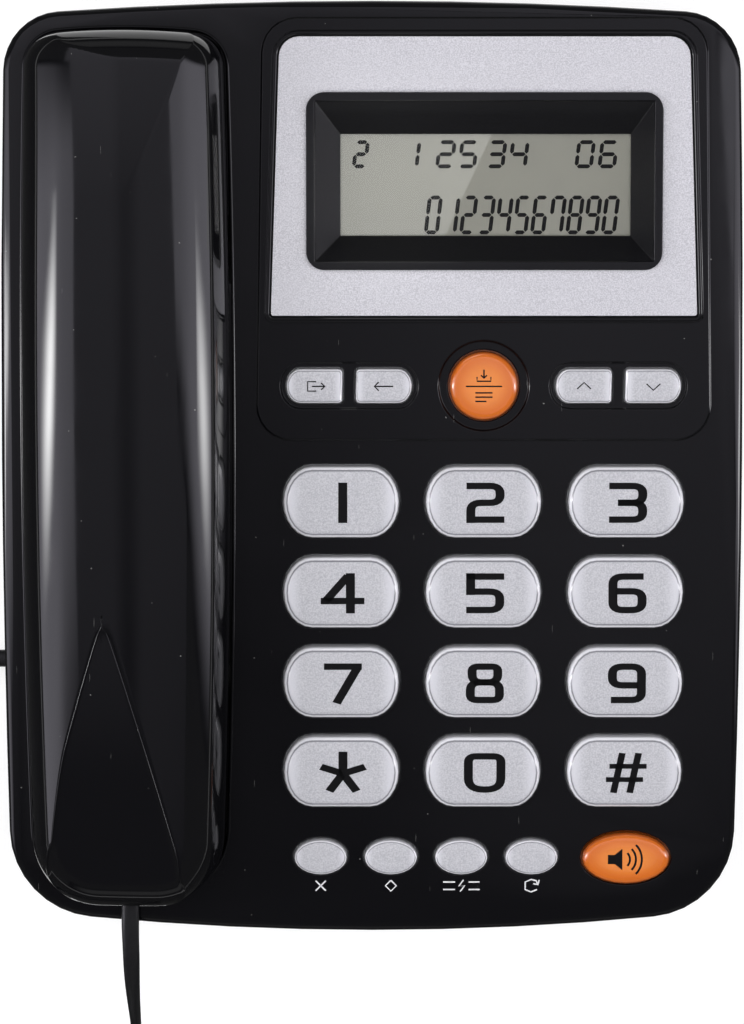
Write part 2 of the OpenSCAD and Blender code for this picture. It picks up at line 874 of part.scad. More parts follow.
// Block under the line socket
module line_rest() {
    rest_l = line_l - wall - 2 * socket_rest_margin;
    translate([line_x - line_out_w / 2, line_y - line_l + wall + socket_rest_margin, floor_z - past / 2])
        cube([line_out_w, rest_l, line_z - line_out_h / 2 - floor_z + past / 2]);
}

module base_lower_shell() {
    color(black) difference() {
        union() {
            difference() {
                lower_form();
                translate([0, 0, floor_z]) linear_extrude(parting_z)
                    polygon(base_ring(lower_wall_inset));
            }
            for (p = boss_places) translate([p[0], p[1], bottom_z + past / 2])
                cylinder(h = boss_z - bottom_z - past / 2, r = boss_r);
            bay_walls();
            speaker_ring();
            line_rest();
        }
        for (p = boss_places) translate([p[0], p[1], bottom_z - past]) {
            cylinder(h = far, r = screw_r + screw_hole_gap);
            cylinder(h = screw_head_h + head_gap + past, r = screw_head_r + head_gap);
        }
        for (p = foot_places) translate([p[0], p[1], bottom_z - past])
            cylinder(h = foot_sink + past, r = foot_r + foot_gap);
        for (s = [-1, 1]) translate([keyhole_x, keyhole_y + s * keyhole_spacing / 2, bottom_z - past]) {
            cylinder(h = floor_t + 2 * past, r = keyhole_r);
            translate([-keyhole_slot_r, 0, 0])
                cube([2 * keyhole_slot_r, keyhole_slot_l, floor_t + 2 * past]);
            translate([0, keyhole_slot_l, 0]) cylinder(h = floor_t + 2 * past, r = keyhole_slot_r);
        }
        speaker_grille();
        bay_cuts();
        jack_opening();
    }
}

module rubber_feet() {
    color(black) for (p = foot_places) translate([p[0], p[1], 0])
        cylinder(h = bottom_z + foot_sink, r = foot_r);
}

module base_screws() {
    color(steel) for (p = boss_places) translate([p[0], p[1], bottom_z + head_gap]) {
        cylinder(h = screw_head_h, r = screw_head_r);
        cylinder(h = boss_z + screw_reach - bottom_z - 2 * head_gap, r = screw_r);
    }
}

module display_panel() {
    color(silver) on_face() difference() {
        translate([0, 0, panel_floor]) linear_extrude(panel_t) panel_outline(0);
        translate([0, 0, panel_floor - past]) linear_extrude(panel_t + 2 * past) bezel_sleeve(bezel_gap);
    }
}

// Frame of the display: a rim on the panel and a funnel down to the window
module display_bezel() {
    mouth_w = bezel_w - 2 * bezel_rim;
    mouth_l = bezel_l - 2 * bezel_rim;
    rings = [
        [window_w, window_l, bezel_bottom - past, window_shift],
        [window_w, window_l, bezel_bottom + past / 2, window_shift],
        [mouth_w, mouth_l, bezel_top - past / 2, [0, 0, 0]],
        [mouth_w, mouth_l, bezel_top + past, [0, 0, 0]]
    ];
    color(black) on_face() difference() {
        union() {
            translate(display_at + [0, 0, panel_floor + panel_t]) linear_extrude(bezel_rise)
                rounded_rect(bezel_w, bezel_l, bezel_corner_r);
            translate([0, 0, bezel_bottom])
                linear_extrude(panel_floor + panel_t - bezel_bottom + past / 2) bezel_sleeve(0);
        }
        translate(display_at) skin([
            for (r = rings)
                [
                    for (c = [[-1, -1], [1, -1], [1, 1], [-1, 1]])
                        r[3] + [c[0] * r[0] / 2, c[1] * r[1] / 2, r[2]]
                ]
        ]);
    }
}

// Plate centred under the window, with its top at w
module display_plate(margin, w, t) {
    on_face() translate(display_at + window_shift + [0, 0, w - t]) linear_extrude(t)
        square([window_w + 2 * margin, window_l + 2 * margin], center = true);
}

module display_lens() {
    color(clear_silver) display_plate(lens_margin, bezel_bottom, lens_t);
}

module lcd_panel() {
    color([0.64, 0.64, 0.60]) display_plate(lcd_margin, lcd_top, lcd_top - board_top);
}

module display_board() {
    color(green) display_plate(display_board_margin, board_top, board_t);
}

module display_ribbon() {
    v0 = face_v(board_y1) - ribbon_lap;
    v1 = face_v(display_y) + window_shift[1] - window_l / 2 - display_board_margin + ribbon_lap;
    color("gray") on_face() translate([keypad_u - ribbon_w / 2, v0, board_bottom - ribbon_t])
        cube([ribbon_w, v1 - v0, ribbon_t]);
}

// Sheet over the area of the key board, drawn in by an edge
module board_sheet(edge) {
    translate([board_u0 + edge, face_v(board_y0) + edge])
        square([board_u1 - board_u0 - 2 * edge, face_v(board_y1) - face_v(board_y0) - 2 * edge]);
}

module key_board() {
    color(green) on_face() translate([0, 0, board_bottom]) linear_extrude(board_t) difference() {
        board_sheet(0);
        for (p = post_places) translate([p[0], face_v(p[1])]) circle(post_screw_r + 2 * screw_hole_gap);
    }
}

module board_screws() {
    shank = board_t + post_screw_l - 2 * head_gap;
    color(steel) on_face() for (p = post_places) translate([p[0], face_v(p[1]), board_bottom]) {
        translate([0, 0, -post_head_h]) cylinder(h = post_head_h, r = post_head_r);
        cylinder(h = shank, r = post_screw_r);
    }
}

// Silicone sheet with a collar under each key
module keypad_mat() {
    color("dimgray") on_face() difference() {
        union() {
            translate([0, 0, board_top]) linear_extrude(mat_t) board_sheet(board_edge);
            for (s = stem_places) translate(s[0] + [0, 0, board_top])
                cylinder(h = collar_top - board_top, r = s[1] + stem_gap + collar_wall);
        }
        for (s = stem_places) translate(s[0] + [0, 0, board_top - past])
            cylinder(h = collar_top - board_top + 2 * past, r = s[1] + stem_gap);
        for (p = post_places) translate([p[0], face_v(p[1]), board_top - past])
            cylinder(h = mat_t + 2 * past, r = post_r + post_gap);
    }
}

module hook_plunger() {
    color(black) on_face() translate([handset_u, hook_v, 0]) {
        translate([0, 0, hook_flange_top]) linear_extrude(hook_top - hook_flange_top) pill(hook_l, hook_w);
        translate([0, 0, hook_flange_top - hook_flange_t]) linear_extrude(hook_flange_t)
            pill(hook_l + 2 * hook_margin, hook_w + 2 * hook_margin);
        translate([0, 0, hook_end]) cylinder(h = hook_tip_l, r = hook_tip_r);
    }
}

module hook_switch() {
    button_r = 1.5;
    button_h = 1;
    color("dimgray") on_face() translate([handset_u, hook_v, hook_end - hook_gap]) {
        translate([0, 0, -button_h]) cylinder(h = button_h, r = button_r);
        translate([-switch_l / 2, -switch_w / 2, -switch_h + hook_gap])
            cube([switch_l, switch_w, switch_h - button_h]);
    }
}

module loudspeaker() {
    cone_h = speaker_h - speaker_rim_h - magnet_h;
    color("dimgray") translate([speaker_x, speaker_y, floor_z]) {
        cylinder(h = speaker_rim_h, r = speaker_r);
        translate([0, 0, speaker_rim_h])
            cylinder(h = cone_h, r1 = speaker_r - cone_margin, r2 = cone_neck_r);
        translate([0, 0, speaker_h - magnet_h]) cylinder(h = magnet_h, r = magnet_r);
    }
}

module speaker_ring() {
    translate([speaker_x, speaker_y, floor_z - past / 2]) difference() {
        cylinder(h = speaker_rim_h + past / 2, r = speaker_r + ring_gap + bay_wall);
        translate([0, 0, -past]) cylinder(h = far, r = speaker_r + ring_gap);
    }
}

module speaker_grille() {
    reach = speaker_r - grille_margin;
    for (i = [0 : grille_slots - 1]) {
        dy = (i - (grille_slots - 1) / 2) * grille_pitch;
        translate([speaker_x, speaker_y + dy, bottom_z - past]) linear_extrude(floor_t + 2 * past)
            pill(2 * sqrt(reach * reach - dy * dy), grille_w);
    }
}

// Line socket in the back wall, and the opening that it shows through
line_y = base_d / 2 - line_x * line_x / (2 * bulge_r(base_w / 2, back_bulge)) - line_recess;

module line_opening() {
    translate([line_x, line_y, line_z])
        cube([line_out_w + 2 * plug_gap, 4 * wall, line_out_h + 2 * plug_gap], center = true);
}

module line_jack() {
    color("dimgray") translate([line_x, line_y, line_z]) difference() {
        translate([-line_out_w / 2, -line_l, -line_out_h / 2]) cube([line_out_w, line_l, line_out_h]);
        translate([-line_plug_w / 2, -line_l + line_wall, line_out_h / 2 - line_wall - line_plug_h])
            cube([line_plug_w, line_l, line_plug_h]);
        translate([-line_latch_w / 2, -line_l + line_wall, -line_out_h / 2 + line_wall])
            cube([line_latch_w, line_l, line_latch_h + past]);
    }
}

// Four way handset socket, open along -X, with its mouth at the origin
module small_socket() {
    difference() {
        translate([0, -socket_out_w / 2, -socket_out_h / 2]) cube([socket_l, socket_out_w, socket_out_h]);
        translate([-past, -plug_w / 2 - plug_gap, -plug_h / 2 - plug_gap])
            cube([socket_l - socket_wall + past, plug_w + 2 * plug_gap, plug_h + 2 * plug_gap]);
    }
}

// Plug that fills a small socket and stands out of it
module small_plug(proud) {
    pins = 4;
    length = socket_l - socket_wall - plug_end_gap + proud;
    translate([-proud, 0, -plug_h / 2]) difference() {
        translate([0, -plug_w / 2, 0]) cube([length, plug_w, plug_h]);
        for (i = [0 : pins - 1])
            translate([length - pin_l, (i - (pins - 1) / 2) * pin_pitch - pin_w / 2, plug_h - pin_depth])
                cube([pin_l + past, pin_w, pin_depth + past]);
    }
}

module jack_opening() {
    translate([jack_x, jack_y, jack_z])
        cube([4 * wall, socket_out_w + 2 * plug_gap, socket_out_h + 2 * plug_gap], center = true);
}

module handset_jack() {
    color("dimgray") translate([jack_x, jack_y, jack_z]) small_socket();
}

module base_plug() {
    color("gainsboro") translate([jack_x, jack_y, jack_z]) small_plug(jack_proud);
}

// Slider knob on the right wall
ringer_wall_x = base_w / 2 - ringer_y * ringer_y / (2 * bulge_r(base_d / 2, side_bulge));

module ringer_opening() {
    slot_l = ringer_l + ringer_travel + 2 * ringer_gap;
    slot_h = ringer_h + 2 * ringer_gap;
    translate([ringer_wall_x - 2 * wall, ringer_y - ringer_l / 2 - ringer_gap, ringer_z - slot_h / 2])
        cube([4 * wall, slot_l, slot_h]);
}

module ringer_switch() {
    inner_x = ringer_wall_x - wall - ringer_back_gap;
    knob_l = ringer_wall_x + ringer_proud - inner_x + ringer_flange_t;
    color(black) translate([inner_x - ringer_flange_t, ringer_y, ringer_z]) {
        translate([0, -ringer_l / 2, -ringer_h / 2]) cube([knob_l, ringer_l, ringer_h]);
        translate([0, -ringer_l / 2 - ringer_margin, -ringer_h / 2 - ringer_margin])
            cube([ringer_flange_t, ringer_l + 2 * ringer_margin, ringer_h + 2 * ringer_margin]);
    }
}

// Battery bay, open to the underside
module bay_walls() {
    translate([bay_x - bay_l / 2 - bay_wall, bay_y - bay_w / 2 - bay_wall, bottom_z + past / 2])
        cube([bay_l + 2 * bay_wall, bay_w + 2 * bay_wall, bay_z + bay_h + bay_wall - bottom_z - past / 2]);
    translate([door_run_x - bay_wall, bay_y - door_w / 2 - bay_wall, bottom_z + past / 2])
        cube([door_run + 2 * bay_wall, door_w + 2 * bay_wall, bay_z + bay_frame_t - bottom_z - past / 2]);
}

module bay_cuts() {
    translate([bay_x - bay_l / 2, bay_y - bay_w / 2, bottom_z - past])
        cube([bay_l, bay_w, bay_z + bay_h - bottom_z + past]);
    translate([door_run_x, bay_y - door_w / 2 - door_gap, bottom_z - past])
        cube([door_run, door_w + 2 * door_gap, bay_z - bottom_z + past]);
}

module battery_door() {
    grips = 5;
    grip_pitch = 2;
    grip_l = 14;
    grip_t = 0.5;
    grip_margin = 2;
    color(black) translate([bay_x, bay_y, bottom_z]) difference() {
        translate([-door_l / 2, -door_w / 2, 0]) cube([door_l, door_w, door_t]);
        for (i = [1 : grips]) translate([-door_l / 2 + grip_margin + i * grip_pitch, -grip_l / 2, -past])
            cube([grip_pitch / 2, grip_l, grip_t + past]);
    }
}

module batteries() {
    nub_r = 1.9;
    nub_l = 1;
    color("darkslategray") for (i = [0 : cells - 1]) {
        end = i % 2 == 0 ? 1 : -1;
        dy = (i - (cells - 1) / 2) * (2 * cell_r + cell_gap);
        translate([bay_x, bay_y + dy, bay_z + cell_gap + cell_r]) rotate([0, end * 90, 0])
            translate([0, 0, -cell_l / 2]) {
                cylinder(h = cell_l - nub_l, r = cell_r);
                cylinder(h = cell_l, r = nub_r);
            }
    }
}

module battery_contacts() {
    contact_h = 8;
    color(steel) for (s = [-1, 1])
        translate([bay_x + s * (bay_l - contact_t) / 2, bay_y, bay_z + cell_gap + cell_r])
            cube([contact_t, bay_w - 2 * cell_gap, contact_h], center = true);
}

// Fall of a rounded nose at x from its end
function nose(x, r) = x >= r ? 0 : r - sqrt(max(0, r * r - (r - x) * (r - x)));

// Height of the handset's top along v, drawn in by d
function top_at(v, d) =
    handset_top - d
    - crease_drop * pow(max(0, crease_v - v) / crease_l, 3)
    - back_drop * pow(max(0, v - back_fall_v) / back_fall_l, back_fall_power)
    - nose(v - handset_v0 - d, front_nose_r) - nose(handset_v1 - d - v, back_nose_r);

function top_stops(d) =
    concat(
        [for (i = [0 : nose_steps - 1]) handset_v0 + d + front_nose_r * (1 - cos(90 * i / nose_steps))],
        slope_stops(handset_v0 + d + front_nose_r, handset_v1 - d - back_nose_r),
        [for (i = [nose_steps - 1 : -1 : 0]) handset_v1 - d - back_nose_r * (1 - cos(90 * i / nose_steps))]
    );

// Section across the handset: crown, rounded sides and upright walls
function crown_section(d) =
    let (
        side = [handset_w / 2 - side_r, side_centre_w],
        crown = [0, handset_top - crown_r],
        a = bearing(side - crown),
        right = concat(
            [[handset_w / 2 - d, -deep]],
            arc(side, side_r - d, 0, a, crown_steps),
            arc(crown, crown_r - d, a, 90, crown_steps)
        )
    )
    concat(right, [[0, handset_top - d]],
        [for (i = [len(right) - 1 : -1 : 0]) [-right[i][0], right[i][1]]]);

// Upper form of the handset, crowned across and falling to both ends
module crown_form(d) {
    intersection() {
        translate([0, 0, -deep]) linear_extrude(far) polygon(handset_ring(d));
        across(far) polygon(concat(
            [[handset_v0 + d, -deep]],
            [for (v = top_stops(d)) [v, top_at(v, d)]],
            [[handset_v1 - d, -deep]]
        ));
        translate([handset_u, 0, 0]) rotate([90, 0, 0]) linear_extrude(2 * far, center = true)
            polygon(crown_section(d));
    }
}

// Lower form of the handset, with two cups and the handle between them
module cup_form(d) {
    half = handset_w / 2 - d;
    corners = [[-half, split_w + deep], [-half, 0], [-half + cup_inset, -ear_depth + d],
        [half - cup_inset, -ear_depth + d], [half, 0], [half, split_w + deep]];
    intersection() {
        translate([0, 0, -deep]) linear_extrude(far) polygon(handset_ring(d));
        above_floor(handle_depth - d, ear_depth - d, mouth_depth - d, deep);
        translate([handset_u, 0, 0]) rotate([90, 0, 0]) linear_extrude(2 * far, center = true)
            polygon(rounded(corners,
                [cup_bend_r, cup_bend_r, cup_edge_r - d, cup_edge_r - d, cup_bend_r, cup_bend_r]));
    }
}

module handset_bosses(w0, w1) {
    for (v = handset_boss_vs) translate([handset_u, v, w0]) cylinder(h = w1 - w0, r = handset_boss_r);
}

module handset_upper_shell() {
    color(black) on_face() difference() {
        intersection() {
            union() {
                difference() {
                    crown_form(0);
                    crown_form(handset_wall);
                }
                handset_bosses(split_w, handset_top - handset_wall / 2);
            }
            translate([-far / 2, -far / 2, split_w]) cube(far);
        }
        for (v = handset_boss_vs) translate([handset_u, v, split_w - past])
            cylinder(h = handset_screw_reach + past, r = handset_screw_r + screw_hole_gap);
    }
}

// Sound holes under the earpiece and the microphone
module sound_holes(v, count, ring_r) {
    translate([handset_u, v, -ear_depth - past]) {
        cylinder(h = ear_depth, r = hole_r);
        for (i = [0 : count - 1]) rotate(360 * i / count) translate([ring_r, 0, 0])
            cylinder(h = ear_depth, r = hole_r);
    }
}

// Block under the handset's socket
module socket_rest() {
    translate([-socket_out_w / 2, handset_v0 + handset_wall + socket_rest_margin, 0])
        cube([
            socket_out_w, socket_l - 2 * socket_rest_margin,
            mouth_depth - handset_wall / 2 + socket_w - socket_out_h / 2
        ]);
}

// Notch in the front wall for the socket, open to the parting line
module socket_notch() {
    notch_w = socket_out_w + 2 * plug_gap;
    translate([-notch_w / 2, -2 * handset_wall, 0]) cube([notch_w, 4 * handset_wall, far]);
}

module microphone_ring() {
    difference() {
        cylinder(h = (handset_wall + microphone_h) / 2, r = microphone_r + capsule_gap + microphone_wall);
        cylinder(h = far, r = microphone_r + capsule_gap);
    }
}

module handset_lower_shell() {
    color(black) on_face() difference() {
        union() {
            difference() {
                intersection() {
                    cup_form(0);
                    translate([-far / 2, -far / 2, split_w - far]) cube(far);
                }
                cup_form(handset_wall);
            }
            handset_bosses(-handle_depth + handset_wall / 2, split_w);
            translate([handset_u, 0, -mouth_depth + handset_wall / 2]) {
                socket_rest();
                translate([0, mouth_v, 0]) microphone_ring();
            }
        }
        for (v = handset_boss_vs) translate([handset_u, v, -handle_depth - past]) {
            cylinder(h = far, r = handset_screw_r + screw_hole_gap);
            cylinder(h = past + screw_head_h, r = handset_head_r + head_gap);
        }
        sound_holes(ear_v, 6, hole_ring_r);
        sound_holes(mouth_v, 3, hole_ring_r / 2);
        translate([handset_u, handset_v0, socket_w - socket_out_h / 2 - plug_gap])
            socket_notch();
    }
}

module earpiece_capsule() {
    color("dimgray") on_face() translate([handset_u, ear_v, -ear_depth + handset_wall]) {
        cylinder(h = capsule_h / 2, r = capsule_r);
        cylinder(h = capsule_h, r = capsule_back_r);
    }
}

module microphone_capsule() {
    color("dimgray") on_face() translate([handset_u, mouth_v, -mouth_depth + handset_wall])
        cylinder(h = microphone_h, r = microphone_r);
}

module handset_weight() {
    color(steel) on_face() translate([handset_u, (handle_v0 + handle_v1) / 2, -handle_depth + handset_wall])
        linear_extrude(weight_h) rounded_rect(weight_w, weight_l, weight_corner_r);
}

module handset_screws() {
    color(steel) on_face() for (v = handset_boss_vs) translate([handset_u, v, -handle_depth + head_gap]) {
        cylinder(h = screw_head_h - 2 * head_gap, r = handset_head_r);
        cylinder(h = split_w + handset_screw_reach + handle_depth - 2 * head_gap, r = handset_screw_r);
    }
}

// Moves a small socket or plug to the front end of the handset, opening along -v
module at_handset_end() {
    on_face() translate([handset_u, handset_v0 + socket_sink, socket_w]) rotate([0, 0, 90]) children();
}

module handset_socket() {
    color("dimgray") at_handset_end() small_socket();
}

module handset_plug() {
    color("gainsboro") at_handset_end() small_plug(socket_sink + plug_proud);
}

// Direction of a route at one of its points
function heading(route, i) = unit(route[min(i + 1, len(route) - 1)] - route[max(i - 1, 0)]);

// Ring of a flat cable at p, square to the heading, with its width along the given direction
function cable_ring(p, along, across_dir, sides) =
    let (
        thick = unit(cross(along, across_dir)),
        wide = cross(thick, along)
    )
    [
        for (k = [0 : sides - 1])
            p + wide * cable_w / 2 * cos(360 * k / sides) + thick * cable_t / 2 * sin(360 * k / sides)
    ];

// Width direction that turns from level to upright by the given angle
function level_dir(along, turn) =
    let (
        level = unit(cross(along, [0, 0, 1])),
        upright = cross(level, along)
    )
    level * cos(turn) + upright * sin(turn);

function cable_rings(route, turns) =
    [
        for (i = [0 : len(route) - 1])
            cable_ring(route[i], heading(route, i), level_dir(heading(route, i), turns[i]), cable_sides)
    ];

// Curly run: down the front, round a half turn and back along the left side
lead = cable_w;
curl_l = curls * curl_pitch + 2 * lead;
curl_lift = 0.1;
curl_z = curl_r + cable_t / 2 + curl_lift;
curl_at = [cord_u + curl_start[0], exit_y + curl_start[1]];
straight_l = (curl_l - PI * bend_r - (curl_end_y - curl_at[1])) / 2;
function bend_angle(s) = min(180, max(0, (s - straight_l) / bend_r * 180 / PI));
function axis_at(s) =
    let (a = bend_angle(s))
    [
        curl_at[0] - bend_r + bend_r * cos(a),
        curl_at[1] - min(s, straight_l) - bend_r * sin(a) + max(0, s - straight_l - PI * bend_r),
        curl_z
    ];
function outward(s) = [cos(bend_angle(s)), -sin(bend_angle(s)), 0];
function curl_phase(s) = 360 * min(curls, max(0, (s - lead) / curl_pitch));
function curl_spread(s) =
    curl_r * smooth((s - lead) / curl_pitch) * smooth((curl_l - lead - s) / curl_pitch);
function radial(s) = outward(s) * cos(curl_phase(s)) + [0, 0, sin(curl_phase(s))];
function wire_at(s) = axis_at(s) + radial(s) * curl_spread(s);
curl_stops = concat(
    [0],
    [for (i = [0 : curls * curl_rings]) lead + i * curl_pitch / curl_rings],
    [curl_l]
);
small_step = 0.01;
function in_lead(s) = s < lead || s > curl_l - lead;
function curl_heading(s) =
    in_lead(s) ? unit(axis_at(s + small_step) - axis_at(s - small_step))
    : unit(wire_at(s + small_step) - wire_at(s - small_step));
curl_points = [
    for (s = curl_stops)
        cable_ring(wire_at(s), curl_heading(s), cross(radial(s), curl_heading(s)), curl_sides)
];
// Least distance between points of neighbouring turns
curl_gap = min([
    for (i = [0 : len(curl_points) - curl_rings - 3], j = [i + curl_rings - 1 : i + curl_rings + 1])
        min([for (p = curl_points[i], q = curl_points[j]) norm(p - q)])
]);
echo(least_gap_of_the_curls = curl_gap);

handset_tail = concat(
    [[cord_u, exit_y - plug_proud * cos(face_slope), exit_z - plug_proud * sin(face_slope)]],
    [for (p = handset_tail_route) [cord_u + p[0], exit_y + p[1], p[2]]],
    [[curl_at[0], curl_at[1], curl_z]]
);
curl_exit = axis_at(curl_l);
base_tail = concat(
    [curl_exit],
    [for (p = base_tail_route) [curl_exit[0] + p[0], curl_exit[1] + p[1], p[2]]],
    [for (out = [cable_w, 0]) [jack_x - jack_proud - out, jack_y, jack_z]]
);

module handset_cord_tail() {
    last = len(handset_tail) - 1;
    turns = [for (i = [0 : last]) 90 * smooth(i / (last - tail_lead))];
    color(black) skin(cable_rings(handset_tail, turns));
}

module handset_cord_curl() {
    color(black) skin(curl_points);
}

module base_cord_tail() {
    last = len(base_tail) - 1;
    turns = [for (i = [0 : last]) 90 * (1 - smooth(i / last))];
    color(black) skin(cable_rings(base_tail, turns));
}

base_upper_shell();
base_lower_shell();
rubber_feet();
base_screws();
display_panel();
display_bezel();
display_lens();
lcd_panel();
display_board();
display_ribbon();
key_board();
board_screws();
keypad_mat();
number_key(0);  // key_1
number_key(1);  // key_2
number_key(2);  // key_3
number_key(3);  // key_4
number_key(4);  // key_5
number_key(5);  // key_6
number_key(6);  // key_7
number_key(7);  // key_8
number_key(8);  // key_9
number_key(9);  // key_star
number_key(10);  // key_0
number_key(11);  // key_hash
function_key(0);  // exit_key
function_key(1);  // back_key
call_key();
function_key(2);  // up_key
function_key(3);  // down_key
small_key(0);  // store_key
small_key(1);  // delete_key
small_key(2);  // flash_key
small_key(3);  // redial_key
speaker_key();
hook_plunger();
hook_switch();
loudspeaker();
line_jack();
handset_jack();
ringer_switch();
battery_door();
batteries();
battery_contacts();
handset_upper_shell();
handset_lower_shell();
earpiece_capsule();
microphone_capsule();
handset_weight();
handset_screws();
handset_socket();
handset_plug();
base_plug();
handset_cord_tail();
handset_cord_curl();
base_cord_tail();
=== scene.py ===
"""Big button corded telephone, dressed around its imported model.

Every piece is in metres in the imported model's frame: +X right, +Y back, +Z up.
"""
import json
import math

import bmesh
import bpy
from bpy.props import FloatProperty, FloatVectorProperty, IntProperty, PointerProperty
from mathutils import Matrix, Vector


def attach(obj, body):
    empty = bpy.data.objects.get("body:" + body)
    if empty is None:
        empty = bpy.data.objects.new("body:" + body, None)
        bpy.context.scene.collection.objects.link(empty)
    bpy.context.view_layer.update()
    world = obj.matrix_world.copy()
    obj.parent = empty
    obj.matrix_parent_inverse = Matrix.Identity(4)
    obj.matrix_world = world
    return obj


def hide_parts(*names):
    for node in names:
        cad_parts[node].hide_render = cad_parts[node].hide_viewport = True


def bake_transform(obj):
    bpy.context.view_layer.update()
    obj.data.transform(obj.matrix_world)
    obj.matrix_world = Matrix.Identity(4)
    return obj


bl_info = {
    "name": "Big Button Telephone",
    "version": (1, 0, 0),
    "blender": (4, 5, 0),
    "location": "View3D > Sidebar > Telephone",
    "description": "Dresses the packed corded telephone with its finishes, keys, handset and curly cord",
    "category": "Add Mesh",
}

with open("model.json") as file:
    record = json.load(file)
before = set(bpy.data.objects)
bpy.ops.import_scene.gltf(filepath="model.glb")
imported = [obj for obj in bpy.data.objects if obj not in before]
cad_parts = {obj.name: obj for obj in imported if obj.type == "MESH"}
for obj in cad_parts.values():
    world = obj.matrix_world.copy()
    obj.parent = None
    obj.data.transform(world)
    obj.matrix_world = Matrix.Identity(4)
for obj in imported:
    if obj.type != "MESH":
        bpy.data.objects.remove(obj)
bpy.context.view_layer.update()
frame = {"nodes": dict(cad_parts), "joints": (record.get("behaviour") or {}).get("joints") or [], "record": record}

MM = 0.001
SLOT_OF = {part["node"]: part["material_slot"] for part in frame["record"]["subparts"]}
BODY_OF = {
    node: body
    for body, nodes in frame["record"]["behaviour"]["bodies"].items()
    for node in nodes
}

# The sloping face: u runs right, v up the slope and w straight out of it
FACE_Z = 46 * MM
FACE_NORMAL = Vector(next(j["axis"] for j in frame["joints"] if j["name"] == "handset_lift"))
FACE_TURN = Vector((0, 0, 1)).rotation_difference(FACE_NORMAL).to_matrix().to_4x4()
FACE = Matrix.Translation((0, 0, FACE_Z)) @ FACE_TURN

NUMBER_KEYS = [
    "key_1", "key_2", "key_3", "key_4", "key_5", "key_6",
    "key_7", "key_8", "key_9", "key_star", "key_0", "key_hash",
]
FUNCTION_KEYS = ["exit_key", "back_key", "up_key", "down_key"]
SMALL_KEYS = ["store_key", "delete_key", "flash_key", "redial_key"]


def linear(code):
    """An sRGB hex colour such as #c8c8cc as linear red, green, blue and alpha."""
    parts = [int(code[i:i + 2], 16) / 255 for i in (1, 3, 5)]
    return [c / 12.92 if c <= 0.04045 else ((c + 0.055) / 1.055) ** 2.4 for c in parts] + [1.0]


def colour(title, description, code):
    """A colour property whose default is an sRGB hex colour."""
    return FloatVectorProperty(
        name=title, description=description, default=linear(code), subtype="COLOR", size=4, min=0, max=1
    )


def length(title, description, size):
    """A length property whose default is in millimetres."""
    return FloatProperty(name=title, description=description, default=size * MM, unit="LENGTH", precision=5)


def light(title, description, value):
    """A light property: the radiance of a card."""
    return FloatProperty(name=title, description=description, default=value, min=0)


class TelephoneColours(bpy.types.PropertyGroup):
    """Colours of the telephone's finishes."""

    black: colour("Black ABS", "Moulded housing and handset", "#0a0a0c")
    silver: colour("Silver lacquer", "Sprayed panel round the display", "#cecdd2")
    key_face: colour("Key face", "Silver print under the clear key caps", "#c5c5c9")
    # Painted highlight: a near white colour painted on the sides of the key caps, where their clear edge would catch
    # light
    key_edge_painted_highlight: colour("Key edge", "Edge of the clear key caps", "#f6f6fa")
    orange: colour("Orange", "Face of the two orange keys", "#d0691c")
    # Painted light: a lighter orange painted in the middle of the orange keys, as a glow
    orange_painted_glow: colour("Orange glow", "Middle of the two orange keys", "#e48532")
    display: colour("Display film", "Grey film of the liquid crystal display", "#88887d")
    ink: colour("Black ink", "Printed digits and signs", "#0b0b0c")
    pale_ink: colour("Pale ink", "Signs printed on the black housing", "#d9d9da")


class TelephoneSizes(bpy.types.PropertyGroup):
    """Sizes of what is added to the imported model."""

    edge_round: length("Edge rounding", "Rounding of the moulded edges", 0.35)
    crease_step: length("Crease step", "Step along the creases of the handset", 0.18)
    crease_width: length("Crease width", "Width of the step along the creases of the handset", 0.2)
    cap_rise: length("Cap rise", "Rise of the middle of a key's face", 0.15)
    digit_stroke: length("Digit stroke", "Height of a level stroke of the key digits", 1.52)
    digit_height: length("Digit height", "Height of the key digits", 9.4)
    digit_width: length("Digit width", "Width of the key digits", 8.9)
    cable_width: length("Cable width", "Width of the flat cable", 4.2)
    cable_thickness: length("Cable thickness", "Thickness of the flat cable", 2.2)
    curl_pitch: length("Curl pitch", "Step from one curl of the cord to the next", 5.8)
    curl_radius: length("Curl radius", "Radius of the curls at the middle of the cable", 4.4)
    curls: IntProperty(name="Curls", description="Number of curls in the cord", default=40, min=1)


class TelephoneStage(bpy.types.PropertyGroup):
    """Camera and light."""

    camera_height: FloatProperty(
        name="Camera height", description="Height of the camera above the table", default=1.002, unit="LENGTH"
    )
    camera_y: FloatProperty(
        name="Camera place", description="Place of the camera along Y", default=-0.00955, unit="LENGTH"
    )
    lens: FloatProperty(
        name="Lens", description="Focal length on a 36 mm sensor", default=144, min=1, subtype="DISTANCE_CAMERA"
    )
    left_light: light("Left lamp", "Radiance of the lamp on the left", 19.0)
    right_light: light("Right lamp", "Radiance of the lamp on the right", 11.0)
    fill_light: light("Fill light", "Radiance of the long cards left and right", 1.9)
    end_light: light("End light", "Radiance of the cards behind and in front", 0.28)
    top_light: light("Top light", "Radiance of the soft light from above, which nothing mirrors", 3.35)
    glare: light("Glare", "Radiance of the card that glares in the display", 1.7)
    room_light: light("Room light", "Radiance of the dim walls", 0.08)


# Helpers for the frame and the meshes


def box_of(points):
    """Lowest and highest corner of the box round points."""
    return [Vector([pick(p[i] for p in points) for i in range(3)]) for pick in (min, max)]


def face_box(node):
    """Lowest and highest corner of a node at rest along the face's own axes."""
    to_face = FACE.inverted()
    return box_of([to_face @ vertex.co for vertex in frame["nodes"][node].data.vertices])


def face_middle(node):
    """Middle of the top of a node, in face axes."""
    low, high = face_box(node)
    return Vector(((low.x + high.x) / 2, (low.y + high.y) / 2, high.z))


def finish_named(name):
    """The material of that name, which the finishes operator has made."""
    return bpy.data.materials[name]


